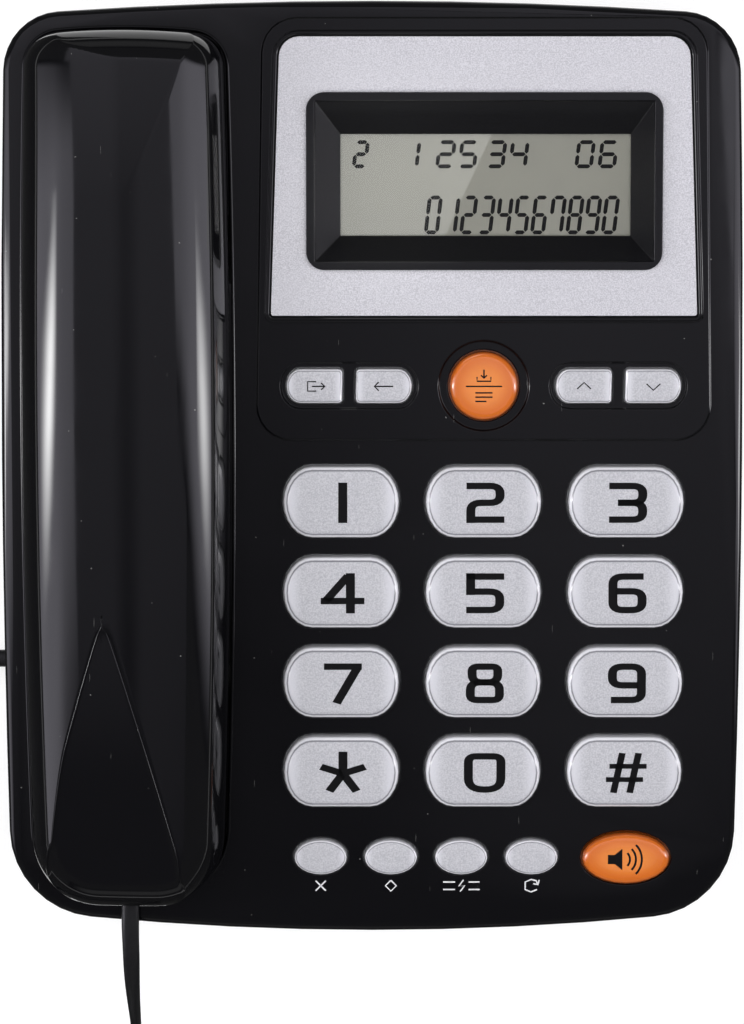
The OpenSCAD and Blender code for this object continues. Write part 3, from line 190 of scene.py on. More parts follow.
def link_mesh(name, bm, finish):
    """An object in the scene, made from a bmesh and one material."""
    mesh = bpy.data.meshes.new(name)
    bm.to_mesh(mesh)
    bm.free()
    mesh.materials.append(finish)
    piece = bpy.data.objects.new(name, mesh)
    bpy.context.scene.collection.objects.link(piece)
    return piece


def new_piece(name, bm, finish, body):
    """Turn a bmesh into a piece with one finish, which rides on a body when one is given."""
    piece = link_mesh(name, bm, finish_named(finish))
    # A copy takes the normals of the triangles it was merged from with it, which don't fit it any more
    left_over = piece.data.attributes.get("custom_normal")
    if left_over:
        piece.data.attributes.remove(left_over)
    if body:
        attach(piece, body)
    return piece


def mm(x, y, z=0.0):
    """A place given in millimetres."""
    return Vector((x, y, z)) * MM


def smooth_piece(piece, angle=32):
    """Shade a piece smooth, with its edges sharper than an angle kept crisp."""
    piece.data.shade_smooth()
    piece.data.set_sharp_from_angle(angle=math.radians(angle))


def merged_copy(node):
    """A bmesh of a node's surface with its loose triangles joined and its flat areas in one piece."""
    merge_distance = 2e-6
    flat_angle = math.radians(0.4)
    bm = bmesh.new()
    bm.from_mesh(frame["nodes"][node].data)
    bmesh.ops.remove_doubles(bm, verts=bm.verts, dist=merge_distance)
    bmesh.ops.dissolve_limit(bm, angle_limit=flat_angle, verts=bm.verts, edges=bm.edges)
    return bm


def dress(node, finish, width, segments=2):
    """Stand a copy with rounded edges in a node's place."""
    piece = new_piece(node + "_moulding", merged_copy(node), finish, BODY_OF[node])
    smooth_piece(piece)
    rounding = piece.modifiers.new("rounded_edges", "BEVEL")
    rounding.width = width
    rounding.segments = segments
    rounding.limit_method = "ANGLE"
    rounding.angle_limit = math.radians(35)
    rounding.use_clamp_overlap = False
    rounding.miter_outer = "MITER_ARC"
    rounding.harden_normals = True
    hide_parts(node)
    return piece


def round_path(corners, radius, steps=6):
    """A path through corners, each inner one rounded off."""
    path = [corners[0]]
    for before, corner, after in zip(corners, corners[1:], corners[2:]):
        back, on = before - corner, after - corner
        reach = min(radius, 0.49 * back.length, 0.49 * on.length)
        start = corner + back.normalized() * reach
        end = corner + on.normalized() * reach
        for i in range(steps + 1):
            t = i / steps
            path.append((1 - t) ** 2 * start + 2 * t * (1 - t) * corner + t ** 2 * end)
    path.append(corners[-1])
    return path


def add_stroke(bm, path, width, place):
    """Bend a narrow grid along a flat path, and put it in its place with a matrix."""
    last = len(path) - 1
    grid = bmesh.ops.create_grid(bm, x_segments=1, y_segments=last, size=1)["verts"]
    for vertex in grid:
        i = round((vertex.co.y + 1) / 2 * last)
        ahead = path[min(i + 1, last)] - path[max(i - 1, 0)]
        across = Vector((ahead.y, -ahead.x, 0)).normalized()
        vertex.co = place @ (path[i] + across * vertex.co.x * width / 2)


def add_print(name, strokes, body, finish):
    """A thin layer of ink from a list of strokes: path, width and place."""
    ink_thickness = 0.03 * MM
    bm = bmesh.new()
    for path, width, place in strokes:
        add_stroke(bm, path, width, place)
    bmesh.ops.recalc_face_normals(bm, faces=bm.faces)
    bmesh.ops.solidify(bm, geom=bm.faces[:], thickness=ink_thickness)
    return new_piece(name, bm, finish, body)


# Finishes

# Settings that nodes share: a smooth step from one range to another, and a mix of two colours
SMOOTH = {"interpolation_type": "SMOOTHSTEP"}
TWO_COLOURS = {"output": 2, "data_type": "RGBA"}


def per_mm(size):
    """Scale of a pattern whose features measure that many millimetres."""
    return 1 / (size * MM)


def add(tree, kind, inputs=(), output=0, **settings):
    """Add a shader node, set its options, and fill its inputs with values or with other nodes' outputs.

    Gives one of its own outputs back.
    """
    node = tree.nodes.new("ShaderNode" + kind)
    for name, value in settings.items():
        setattr(node, name, value)
    for socket, value in dict(inputs).items():
        if isinstance(value, bpy.types.NodeSocket):
            tree.links.new(value, node.inputs[socket])
        else:
            node.inputs[socket].default_value = value
    return node.outputs[output]


def new_finish(name, values, linked=None):
    """A material with one Principled shader. Even values go on its sockets, and a function links the rest."""
    finish = bpy.data.materials.new(name)
    finish.use_nodes = True
    tree = finish.node_tree
    shader = tree.nodes["Principled BSDF"]
    for socket, value in values.items():
        shader.inputs[socket].default_value = value
    place = add(tree, "TexCoord", output="Object")
    for socket, source in (linked(tree, place) if linked else {}).items():
        tree.links.new(source, shader.inputs[socket])
    return finish


def bare_finish(name):
    """A material that has no shader yet."""
    finish = bpy.data.materials.new(name)
    finish.use_nodes = True
    finish.node_tree.nodes.remove(finish.node_tree.nodes["Principled BSDF"])
    return finish


def show(tree, shader):
    """Make a shader the surface of its material."""
    tree.links.new(shader, tree.nodes["Material Output"].inputs["Surface"])


def marks_facing_up(tree, place, spacing, size, stretch=1.0, turn=0.0):
    """Sparse dots, or hairlines where they are stretched, on what faces up. Sizes are in millimetres."""
    steps = (per_mm(spacing), per_mm(spacing * stretch), 0)
    mapped = add(tree, "Mapping", {"Vector": place, "Rotation": (0, 0, math.radians(turn)), "Scale": steps})
    distance = add(tree, "TexVoronoi", {"Vector": mapped, "Scale": 1.0}, "Distance", voronoi_dimensions="2D")
    share = add(tree, "SeparateColor", {0: distance.node.outputs["Color"]})
    reach = add(tree, "Math", {0: share, 1: size / spacing}, operation="MULTIPLY")
    inside = add(tree, "Math", {0: distance, 1: reach}, operation="LESS_THAN")
    upward = add(tree, "SeparateXYZ", {0: add(tree, "NewGeometry", output="Normal")}, "Z")
    facing = add(tree, "MapRange", {0: upward, 1: 0.7, 2: 0.9}, **SMOOTH)
    return add(tree, "Math", {0: inside, 1: facing}, operation="MULTIPLY")


def polished_black_abs(colours):
    """ABS from a polished mould: deep black and mirror smooth, with smears, dust and hairline scratches."""

    def linked(tree, place):
        smear = add(tree, "TexNoise", {"Vector": place, "Scale": per_mm(16), "Detail": 4.0})
        dust = marks_facing_up(tree, place, 20, 0.2)
        scratch = marks_facing_up(tree, place, 5, 0.035, 30, 37)
        marked = add(tree, "Math", {0: dust, 1: scratch}, operation="MAXIMUM")
        grime = add(tree, "Math", {0: marked, 1: 0.5}, operation="MULTIPLY")
        ripple = add(tree, "TexNoise", {"Vector": place, "Scale": per_mm(22), "Detail": 1.0})
        return {
            "Base Color": add(tree, "Mix", {0: grime, 6: colours.black, 7: linear("#8a8a86")}, **TWO_COLOURS),
            "Roughness": add(tree, "MapRange", {0: smear, 1: 0.3, 2: 0.75, 3: 0.05, 4: 0.1}, **SMOOTH),
            "Normal": add(tree, "Bump", {"Height": ripple, "Distance": 0.02 * MM, "Strength": 1.0}),
        }

    new_finish("polished_black_abs", {"IOR": 1.53}, linked)


def silver_lacquer(colours):
    """Sprayed silver lacquer: satin, with fine flakes. The flakes are drawn at 0.3 mm so that they show."""

    def linked(tree, place):
        flakes = add(tree, "TexNoise", {"Vector": place, "Scale": per_mm(0.3), "Detail": 2.0})
        cloud = add(tree, "TexNoise", {"Vector": place, "Scale": per_mm(14), "Detail": 2.0})
        flaked = add(tree, "MapRange", {0: flakes, 1: 0.3, 2: 0.7}, **SMOOTH)
        clouded = add(tree, "MapRange", {0: cloud, 1: 0.2, 2: 0.8, 3: 0.1, 4: 0.4}, **SMOOTH)
        grain = add(tree, "Mix", {0: flaked, 6: linear("#b4b3b9"), 7: linear("#dcdbe0")}, **TWO_COLOURS)
        return {
            "Base Color": add(tree, "Mix", {0: clouded, 6: grain, 7: colours.silver}, **TWO_COLOURS),
            "Normal": add(tree, "Bump", {"Height": flakes, "Distance": 0.012 * MM, "Strength": 1.0}),
        }

    new_finish("silver_lacquer", {"Metallic": 0.3, "Roughness": 0.42, "IOR": 1.5}, linked)


# Polished polycarbonate, which lies like a coat over what is under it
GLOSSY_CAP = {"IOR": 1.58, "Coat Weight": 1.0, "Coat Roughness": 0.04, "Coat IOR": 1.58}


def cap_place(tree):
    """Place on a key's face, from -1 to 1 along and across it."""
    return add(tree, "SeparateXYZ", {0: add(tree, "UVMap", uv_map="cap")}).node.outputs


def cap_slope(tree):
    """How far a cap's surface faces out of the sloping face: 1 on top, 0 on its sides."""
    normal = add(tree, "NewGeometry", output="Normal")
    return add(tree, "VectorMath", {0: normal, 1: FACE_NORMAL}, "Value", operation="DOT_PRODUCT")


def silver_cap(colours):
    """Silver print seen through a clear polycarbonate cap, with light and shade painted into its colour: a painted
    near white highlight on the edge, a painted shadow line inside it, and painted lighter ends."""

    def linked(tree, place):
        # Painted light: the two ends of the face are painted lighter, as if the clear cap gathered light there
        out = add(tree, "Math", {0: cap_place(tree)[0]}, operation="ABSOLUTE")
        end = add(tree, "MapRange", {0: out, 1: 0.72, 2: 1.05}, **SMOOTH)
        grain = add(tree, "TexNoise", {"Vector": place, "Scale": per_mm(0.35), "Detail": 2.0})
        grained = add(tree, "MapRange", {0: grain, 1: 0.3, 2: 0.7}, **SMOOTH)
        print_shade = add(tree, "Mix", {0: grained, 6: linear("#aaaab0"), 7: colours.key_face}, **TWO_COLOURS)
        face = add(tree, "Mix", {0: end, 6: print_shade, 7: linear("#d0d0d6")}, **TWO_COLOURS)
        # Painted shadow line: a darker grey ring painted just inside the edge, where the surface faces out at about
        # 0.87
        slope = cap_slope(tree)
        line = add(tree, "Math", {0: slope, 1: 0.87}, operation="SUBTRACT")
        apart = add(tree, "Math", {0: line}, operation="ABSOLUTE")
        off_line = add(tree, "MapRange", {0: apart, 1: 0.02, 2: 0.08}, **SMOOTH)
        lined = add(tree, "Mix", {0: off_line, 6: linear("#7c7c82"), 7: face}, **TWO_COLOURS)
        # Painted highlight: the sides of the cap take the near white edge colour
        on_top = add(tree, "MapRange", {0: slope, 1: 0.7, 2: 0.8}, **SMOOTH)
        return {"Base Color": add(tree, "Mix", {0: on_top, 6: colours.key_edge_painted_highlight, 7: lined}, **TWO_COLOURS)}

    new_finish("silver_cap", {"Roughness": 0.3, **GLOSSY_CAP}, linked)


def orange_cap(colours):
    """Tinted translucent polycarbonate: saturated orange, with a painted glow in the middle and painted shade on its
    sides.
    """

    def linked(tree, place):
        # Painted glow: the middle of the face is painted a lighter orange, fading to the plain orange at the outline
        along, across = cap_place(tree)[:2]
        square = [add(tree, "Math", {0: axis, 1: 2.0}, operation="POWER") for axis in (along, across)]
        out = add(tree, "Math", {0: square[0], 1: square[1]}, operation="ADD")
        outer = add(tree, "MapRange", {0: out, 1: 0.0, 2: 1.0}, **SMOOTH)
        glow = add(tree, "Mix", {0: outer, 6: colours.orange_painted_glow, 7: colours.orange}, **TWO_COLOURS)
        grain = add(tree, "TexNoise", {"Vector": place, "Scale": per_mm(1.2), "Detail": 3.0})
        grained = add(tree, "MapRange", {0: grain, 1: 0.2, 2: 0.9, 3: 0.0, 4: 0.2}, **SMOOTH)
        face = add(tree, "Mix", {0: grained, 6: glow, 7: linear("#d0702c")}, **TWO_COLOURS)
        # Painted shade: the sides of the cap are painted a darker orange
        on_top = add(tree, "MapRange", {0: cap_slope(tree), 1: 0.5, 2: 0.85}, **SMOOTH)
        return {"Base Color": add(tree, "Mix", {0: on_top, 6: linear("#b0551a"), 7: face}, **TWO_COLOURS)}

    new_finish("orange_cap", {"Roughness": 0.2, **GLOSSY_CAP}, linked)


def polished_acrylic(colours):
    """Polished acrylic sheet with a coat against glare: clear, with hardly a reflection.

    It is too thin to bend what lies under it, so light goes straight through.
    """
    finish = new_finish("polished_acrylic", {"Base Color": (1, 1, 1, 1), "Metallic": 1.0, "Roughness": 0.0})
    tree = finish.node_tree
    mirror = tree.nodes["Principled BSDF"].outputs[0]
    fresnel = add(tree, "Fresnel", {"IOR": 1.18})
    inside = add(tree, "NewGeometry", output="Backfacing")
    share = add(tree, "Math", {0: fresnel, 1: inside}, operation="SUBTRACT", use_clamp=True)
    show(tree, add(tree, "MixShader", {0: share, 1: add(tree, "BsdfTransparent"), 2: mirror}))


def display_film(colours):
    """Reflective liquid crystal film: grey green with a faint cloud and a mirror sheen."""

    def linked(tree, place):
        cloud = add(tree, "TexNoise", {"Vector": place, "Scale": per_mm(25), "Detail": 2.0})
        clouded = add(tree, "MapRange", {0: cloud, 1: 0.2, 2: 0.8, 3: 0.0, 4: 0.4}, **SMOOTH)
        shades = {0: clouded, 6: colours.display, 7: linear("#7e7e76")}
        return {"Base Color": add(tree, "Mix", shades, **TWO_COLOURS)}

    new_finish("display_film", {"Roughness": 0.03, "Specular IOR Level": 0.9}, linked)


def printed_ink(name, shade, worn):
    """Pad printing ink: satin, a little uneven in cover."""

    def linked(tree, place):
        cover = add(tree, "TexNoise", {"Vector": place, "Scale": per_mm(0.8), "Detail": 3.0})
        thin = add(tree, "MapRange", {0: cover, 1: 0.55, 2: 0.9, 3: 0.0, 4: 0.5}, **SMOOTH)
        return {"Base Color": add(tree, "Mix", {0: thin, 6: shade, 7: worn}, **TWO_COLOURS)}

    new_finish(name, {"Roughness": 0.45, "Specular IOR Level": 0.2}, linked)


def black_print(colours):
    """Black ink on the keys and black segments of the display."""
    printed_ink("black_print", colours.ink, linear("#1c1c1e"))


def pale_print(colours):
    """Pale ink on the black housing."""
    printed_ink("pale_print", colours.pale_ink, linear("#b4b4b6"))


def plain_finish(name, low, high, grain, values):
    """A moulded or rolled surface whose shade and relief vary with a grain in millimetres."""

    def linked(tree, place):
        cloud = add(tree, "TexNoise", {"Vector": place, "Scale": per_mm(grain), "Detail": 4.0})
        clouded = add(tree, "MapRange", {0: cloud, 1: 0.3, 2: 0.7}, **SMOOTH)
        return {
            "Base Color": add(tree, "Mix", {0: clouded, 6: linear(low), 7: linear(high)}, **TWO_COLOURS),
            "Normal": add(tree, "Bump", {"Height": cloud, "Distance": 0.03 * MM, "Strength": 0.6}),
        }

    new_finish(name, values, linked)


# Moulded, rolled and extruded finishes: darkest and lightest shade, grain in millimetres and the shader's values
PLAIN_FINISHES = {
    # Moulded silicone rubber: dark grey and matt
    "matt_rubber": ("#1b1b1c", "#2a2a2b", 0.6, {"Roughness": 0.75, "IOR": 1.41}),
    # Glass fibre circuit board under solder lacquer: green with a half gloss
    "green_board": ("#12452a", "#1d5c38", 1.5, {"Roughness": 0.3, "IOR": 1.55, "Coat Weight": 0.5}),
    # Zinc plated steel: pale metal with a faint mottle
    "zinc_steel": ("#a9acb0", "#c9cbce", 0.9, {"Metallic": 1.0, "Roughness": 0.32}),
    # ABS from a spark eroded mould: dark grey with a fine texture
    "textured_dark_abs": ("#1e1e20", "#2b2b2d", 0.4, {"Roughness": 0.55, "IOR": 1.53}),
    # ABS from a finely etched mould: black, with an even, soft sheen instead of a mirror
    "satin_black_abs": ("#09090b", "#101013", 0.6, {"Roughness": 0.3, "IOR": 1.5}),
    # Moulded polycarbonate of the plugs: clear, clouded by its edges
    "clear_polycarbonate": (
        "#c9ccce", "#e6e8ea", 2.0, {"Roughness": 0.12, "IOR": 1.58, "Transmission Weight": 0.6},
    ),
    # Shrunk plastic sleeve of a dry cell: dark and glossy
    "printed_sleeve": ("#23282d", "#343a40", 3.0, {"Roughness": 0.25, "IOR": 1.5}),
    # Extruded flexible PVC: black with a soft sheen
    "flexible_pvc": ("#0f0f10", "#19191b", 0.7, {"Roughness": 0.34, "IOR": 1.54}),
}
FINISHES = [
    polished_black_abs, silver_lacquer, silver_cap, orange_cap, polished_acrylic, display_film, black_print,
    pale_print,
]
SLOT_FINISH = {
    "black_abs": "polished_black_abs", "silver_panel": "silver_lacquer", "clear_key": "silver_cap",
    "orange_key": "orange_cap", "clear_acrylic": "polished_acrylic", "lcd_glass": "display_film",
    "rubber": "matt_rubber", "circuit_board": "green_board", "steel": "zinc_steel",
    "dark_plastic": "textured_dark_abs", "clear_plug": "clear_polycarbonate",
    "cell_sleeve": "printed_sleeve", "cord_pvc": "flexible_pvc",
}


class TELEPHONE_OT_finishes(bpy.types.Operator):
    """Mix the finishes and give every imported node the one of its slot"""

    bl_idname = "telephone.finishes"
    bl_label = "Mix Finishes"

    def execute(self, context):
        for make in FINISHES:
            make(context.scene.telephone_colours)
        for name, values in PLAIN_FINISHES.items():
            plain_finish(name, *values)
        for node, piece in frame["nodes"].items():
            piece.data.materials.clear()
            piece.data.materials.append(finish_named(SLOT_FINISH[SLOT_OF[node]]))
        return {"FINISHED"}


# Stage

COOL_WHITE = "#f5f2ff"


def card_finish(name, radiance, core=(1, 1), top=1.0, shade="#ffffff", clear=False):
    """Light of a card: even over a core share of its width and height, then fading to its edges.

    It may also fall to a share of itself at its top, and a clear card adds its light to what lies behind it.
    """
    finish = bare_finish(name)
    tree = finish.node_tree
    axes = add(tree, "SeparateXYZ", {0: add(tree, "UVMap", uv_map="card")}).node.outputs
    strength = radiance
    for axis, share in zip(axes, core):
        if share < 1:
            out = add(tree, "Math", {0: axis}, operation="ABSOLUTE")
            fading = add(tree, "MapRange", {0: out, 1: 1.0, 2: share}, **SMOOTH)
            strength = add(tree, "Math", {0: fading, 1: strength}, operation="MULTIPLY")
    if top < 1:
        falls_from = -0.2
        falling = add(tree, "MapRange", {0: axes[1], 1: falls_from, 2: 1.0, 3: 1.0, 4: top}, **SMOOTH)
        strength = add(tree, "Math", {0: falling, 1: strength}, operation="MULTIPLY")
    lamp = add(tree, "Emission", {"Color": linear(shade), "Strength": strength})
    if clear:
        lamp = add(tree, "AddShader", {0: lamp, 1: add(tree, "BsdfTransparent")})
    show(tree, lamp)
    return finish


def stage_piece(name, bm, finish):
    """A piece of the stage that the camera doesn't see and that casts no shadow."""
    piece = link_mesh(name, bm, finish)
    piece.visible_camera = False
    piece.visible_shadow = False
    return piece


def add_card(name, corners, finish):
    """A flat card through four corners, in the order of a turn round it."""
    bm = bmesh.new()
    grid = bmesh.ops.create_grid(bm, x_segments=8, y_segments=8, size=1)["verts"]
    uv = bm.loops.layers.uv.new("card")
    first, second, third, fourth = [Vector(corner) for corner in corners]
    for vertex in grid:
        for loop in vertex.link_loops:
            loop[uv].uv = vertex.co.xy
    for vertex in grid:
        across, up = (vertex.co.x + 1) / 2, (vertex.co.y + 1) / 2
        vertex.co = first.lerp(second, across).lerp(fourth.lerp(third, across), up)
    return stage_piece(name, bm, finish)


def level_corners(x0, x1, y0, y1, z):
    """Corners of a card that lies level."""
    return [(x0, y0, z), (x1, y0, z), (x1, y1, z), (x0, y1, z)]


def ceiling_finish():
    """Dim ceiling that grows lighter to both sides and to the back."""
    left_of_middle, reach, middle_light, side_light = 0.09, 0.22, 0.28, 0.412
    rise_per_metre, least_light = 0.48, 0.06
    finish = bare_finish("ceiling")
    tree = finish.node_tree
    place = add(tree, "SeparateXYZ", {0: add(tree, "TexCoord", output="Object")}).node.outputs
    aside = add(tree, "Math", {0: place["X"], 1: left_of_middle}, operation="ADD")
    away = add(tree, "Math", {0: aside}, operation="ABSOLUTE")
    sides = add(tree, "MapRange", {0: away, 1: 0.0, 2: reach, 3: middle_light, 4: side_light}, **SMOOTH)
    rise = add(tree, "Math", {0: place["Y"], 1: rise_per_metre, 2: sides}, operation="MULTIPLY_ADD")
    strength = add(tree, "Math", {0: rise, 1: least_light}, operation="MAXIMUM")
    show(tree, add(tree, "Emission", {"Color": linear(COOL_WHITE), "Strength": strength}))
    return finish


def add_room(radiance):
    """Dim walls round the stage, which keep the white surroundings from lighting the telephone."""
    size, middle_z = (6.0, 6.0, 4.0), 1.9
    bm = bmesh.new()
    bmesh.ops.create_cube(bm, size=1)
    bmesh.ops.scale(bm, vec=size, verts=bm.verts)
    bmesh.ops.translate(bm, vec=(0, 0, middle_z), verts=bm.verts)
    walls = stage_piece("room", bm, card_finish("room", radiance))
    walls.visible_shadow = True


def white_for_the_eye(tree):
    """1 for rays from the camera, a mirror or glass, which see the plain white, and 0 for light rays."""
    path = add(tree, "LightPath").node.outputs
    seen = add(tree, "Math", {0: path["Is Camera Ray"], 1: path["Is Glossy Ray"]}, operation="ADD")
    return add(tree, "Math", {0: seen, 1: path["Is Transmission Ray"]}, operation="ADD", use_clamp=True)


def add_floor():
    """A plain white table top. Seen directly it glows just short of white, so the shadow stays."""
    half_size, short_of_white = 6.0, 0.76
    finish = bare_finish("white_table")
    tree = finish.node_tree
    plain = add(tree, "BsdfDiffuse", {"Color": linear("#e6e6e6")})
    dim = add(tree, "BsdfDiffuse", {"Color": linear("#9a9a9a")})
    glow = add(tree, "Emission", {"Strength": short_of_white})
    bright = add(tree, "AddShader", {0: dim, 1: glow})
    show(tree, add(tree, "MixShader", {0: white_for_the_eye(tree), 1: plain, 2: bright}))
    bm = bmesh.new()
    bmesh.ops.create_grid(bm, x_segments=1, y_segments=1, size=half_size)
    link_mesh("floor", bm, finish)


def set_world():
    """Plain white surroundings for the eye."""
    world = bpy.data.worlds.new("surroundings")
    world.use_nodes = True
    tree = world.node_tree
    back = tree.nodes["Background"]
    back.inputs["Color"].default_value = (1, 1, 1, 1)
    tree.links.new(white_for_the_eye(tree), back.inputs["Strength"])
    bpy.context.scene.world = world


class TELEPHONE_OT_stage(bpy.types.Operator):
    """Set the camera straight above the telephone, with soft boxes round a white table"""

    bl_idname = "telephone.stage"
    bl_label = "Set Stage"

    def execute(self, context):
        stage = context.scene.telephone_stage
        lens = bpy.data.cameras.new("camera")
        lens.lens = stage.lens
        lens.clip_end = 20
        camera = bpy.data.objects.new("camera", lens)
        camera.location = (0, stage.camera_y, stage.camera_height)
        context.scene.collection.objects.link(camera)
        context.scene.camera = camera
        context.scene.view_settings.view_transform = "Standard"
        add_floor()
        set_world()
        add_room(stage.room_light)
        ceiling = add_card("ceiling", level_corners(-0.9, 0.9, -1.4, 0.6, 1.6), ceiling_finish())
        ceiling.visible_transmission = False
        for name, x, low, high, radiance in (
            ("left_lamp", -0.68, 0.12, 0.86, stage.left_light), ("right_lamp", 0.68, 0.06, 0.72, stage.right_light),
        ):
            corners = [(x, -0.154, low), (x, -0.012, low), (x, -0.012, high), (x, -0.154, high)]
            add_card(name, corners, card_finish(name, radiance, (0.0, 0.02), clear=True))
        # Long cards that the handset's flanks mirror, with the core share of their length
        left = [(-0.8, -0.5, 0.1), (-0.8, 0.26, 0.1), (-0.68, 0.26, 1.35), (-0.68, -0.5, 1.35)]
        right = [(0.85, -0.25, 0.1), (0.85, 0.18, 0.1), (0.369, 0.18, 1.35), (0.47, -0.25, 1.35)]
        for name, corners, core in (("left_fill", left, 0.3), ("right_fill", right, 0.5)):
            add_card(name, corners, card_finish(name, stage.fill_light, (core, 1), 0.7, COOL_WHITE))
        for name, y, high in (("back_fill", 0.95, 0.7), ("front_fill", -0.95, 0.5)):
            corners = [(-0.6, y, 0.1), (0.6, y, 0.1), (0.6, y, high), (-0.6, y, high)]
            add_card(name, corners, card_finish(name, stage.end_light, (0.5, 0.3)))
        top = add_card("top_fill", level_corners(-0.7, 0.7, -0.7, 0.7, 1.5), card_finish("top_fill", stage.top_light))
        top.visible_glossy = False
        top.visible_transmission = False
        # A card with one slanting side, close over the display
        over = 0.0737
        corners = [(-0.0105, 0.0483, over), (0.0164, 0.0483, over), (0.0298, 0.0779, over), (-0.0105, 0.0779, over)]
        mirrored = [add_card("glare", corners, card_finish("glare", stage.glare))]
        # Dark flags on the table, so that the telephone's sides don't mirror white
        for name, *sides in (
            ("left_flag", -1.0, -0.1, -0.8, 0.8), ("right_flag", 0.1, 1.0, -0.8, 0.8),
            ("front_flag", -0.1, 0.1, -0.8, -0.12),
        ):
            mirrored.append(add_card(name, level_corners(*sides, 0.001), card_finish(name, 0.05)))
        # Both are only mirrored and light nothing
        for card in mirrored:
            card.visible_diffuse = False
        return {"FINISHED"}


# Cord

HANDSET_TAIL = [
    (0, -3, 37.66), (0, -8, 37), (0.1, -14, 35.6), (0.2, -20, 33), (0.4, -26, 28.8), (0.5, -31, 23.6),
    (0.5, -35, 18), (0.3, -39, 12.3), (0.1, -42.6, 8.6), (0, -45.8, 6.4), (0, -48.6, 5.6),
]
CURL_START = (0, -53)
CURL_END_Y = -72 * MM
BEND_RADIUS = 26 * MM
CURL_LIFT = 0.1 * MM
BASE_TAIL = [(0, 7, 5.6), (0.8, 13, 6), (3.4, 19, 7), (8, 24, 8.4), (13.5, 26.6, 9.3)]
# Last points of the tail that already lie upright
UPRIGHT_END = 4


def ease(t):
    """A share from 0 to 1 that starts and ends gently."""
    t = min(1.0, max(0.0, t))
    return t * t * (3 - 2 * t)


def plug_end(node, axis):
    """Middle of the end of a plug that faces a direction."""
    points = [vertex.co for vertex in frame["nodes"][node].data.vertices]
    reach = max(p.dot(axis) for p in points)
    at_the_end = 1e-5
    low, high = box_of([p for p in points if reach - p.dot(axis) < at_the_end])
    return (low + high) / 2


def flowing(points, steps=6):
    """A smooth curve through points, each span in a number of steps."""
    curve = []
    for i in range(len(points) - 1):
        p0, p1, p2, p3 = points[max(i - 1, 0)], points[i], points[i + 1], points[min(i + 2, len(points) - 1)]
        for k in range(steps):
            t = k / steps
            curve.append(
                0.5 * (2 * p1 + (p2 - p0) * t + (2 * p0 - 5 * p1 + 4 * p2 - p3) * t ** 2
                       + (3 * p1 - p0 - 3 * p2 + p3) * t ** 3)
            )
    return curve + [points[-1]]


def level_or_upright(along, turn):
    """Direction of the cable's width, turned from level towards upright."""
    level = along.cross(Vector((0, 0, 1))).normalized()
    return level * math.cos(turn) + level.cross(along) * math.sin(turn)


def tail_stops(points, turn_at):
    """Places along a tail: point and direction of the cable's width."""
    curve = flowing(points)
    last = len(curve) - 1
    stops = []
    for i, point in enumerate(curve):
        along = (curve[min(i + 1, last)] - curve[max(i - 1, 0)]).normalized()
        stops.append((point, level_or_upright(along, math.radians(90 * turn_at(i / last)))))
    return stops


class Curl:
    """Curly run of the cord: down the front, round a half turn and back along the left side."""

    def __init__(self, start, sizes):
        self.start = start
        self.lead = sizes.cable_width
        self.pitch = sizes.curl_pitch
        self.radius = sizes.curl_radius
        self.curls = sizes.curls
        self.length = self.curls * self.pitch + 2 * self.lead
        self.straight = (self.length - math.pi * BEND_RADIUS - (CURL_END_Y - start.y)) / 2

    def bend(self, s):
        """How far the axis has turned at a distance along it."""
        return min(math.pi, max(0.0, (s - self.straight) / BEND_RADIUS))

    def axis(self, s):
        """Place on the axis of the curls."""
        a = self.bend(s)
        back = max(0.0, s - self.straight - math.pi * BEND_RADIUS)
        x = self.start.x - BEND_RADIUS + BEND_RADIUS * math.cos(a)
        y = self.start.y - min(s, self.straight) - BEND_RADIUS * math.sin(a) + back
        return Vector((x, y, self.start.z))

    def radial(self, s):
        """Direction from the axis to the cable."""
        phase = math.tau * min(self.curls, max(0.0, (s - self.lead) / self.pitch))
        outward = Vector((math.cos(self.bend(s)), -math.sin(self.bend(s)), 0))
        return outward * math.cos(phase) + Vector((0, 0, math.sin(phase)))

    def wire(self, s):
        """Middle of the cable, which leaves and joins the axis gently."""
        ends = ease((s - self.lead) / self.pitch) * ease((self.length - self.lead - s) / self.pitch)
        return self.axis(s) + self.radial(s) * self.radius * ends

    def stops(self, rings):
        """Places along the curls: point and direction of the cable's width."""
        nudge = 0.01 * MM
        count = self.curls * rings
        places = [self.lead * i / 4 for i in range(4)]
        places += [self.lead + i * self.pitch / rings for i in range(count + 1)]
        places += [self.length - self.lead + self.lead * i / 4 for i in range(1, 4)]
        return [
            (self.wire(s), self.radial(s).cross(self.wire(s + nudge) - self.wire(s - nudge)).normalized())
            for s in places
        ]


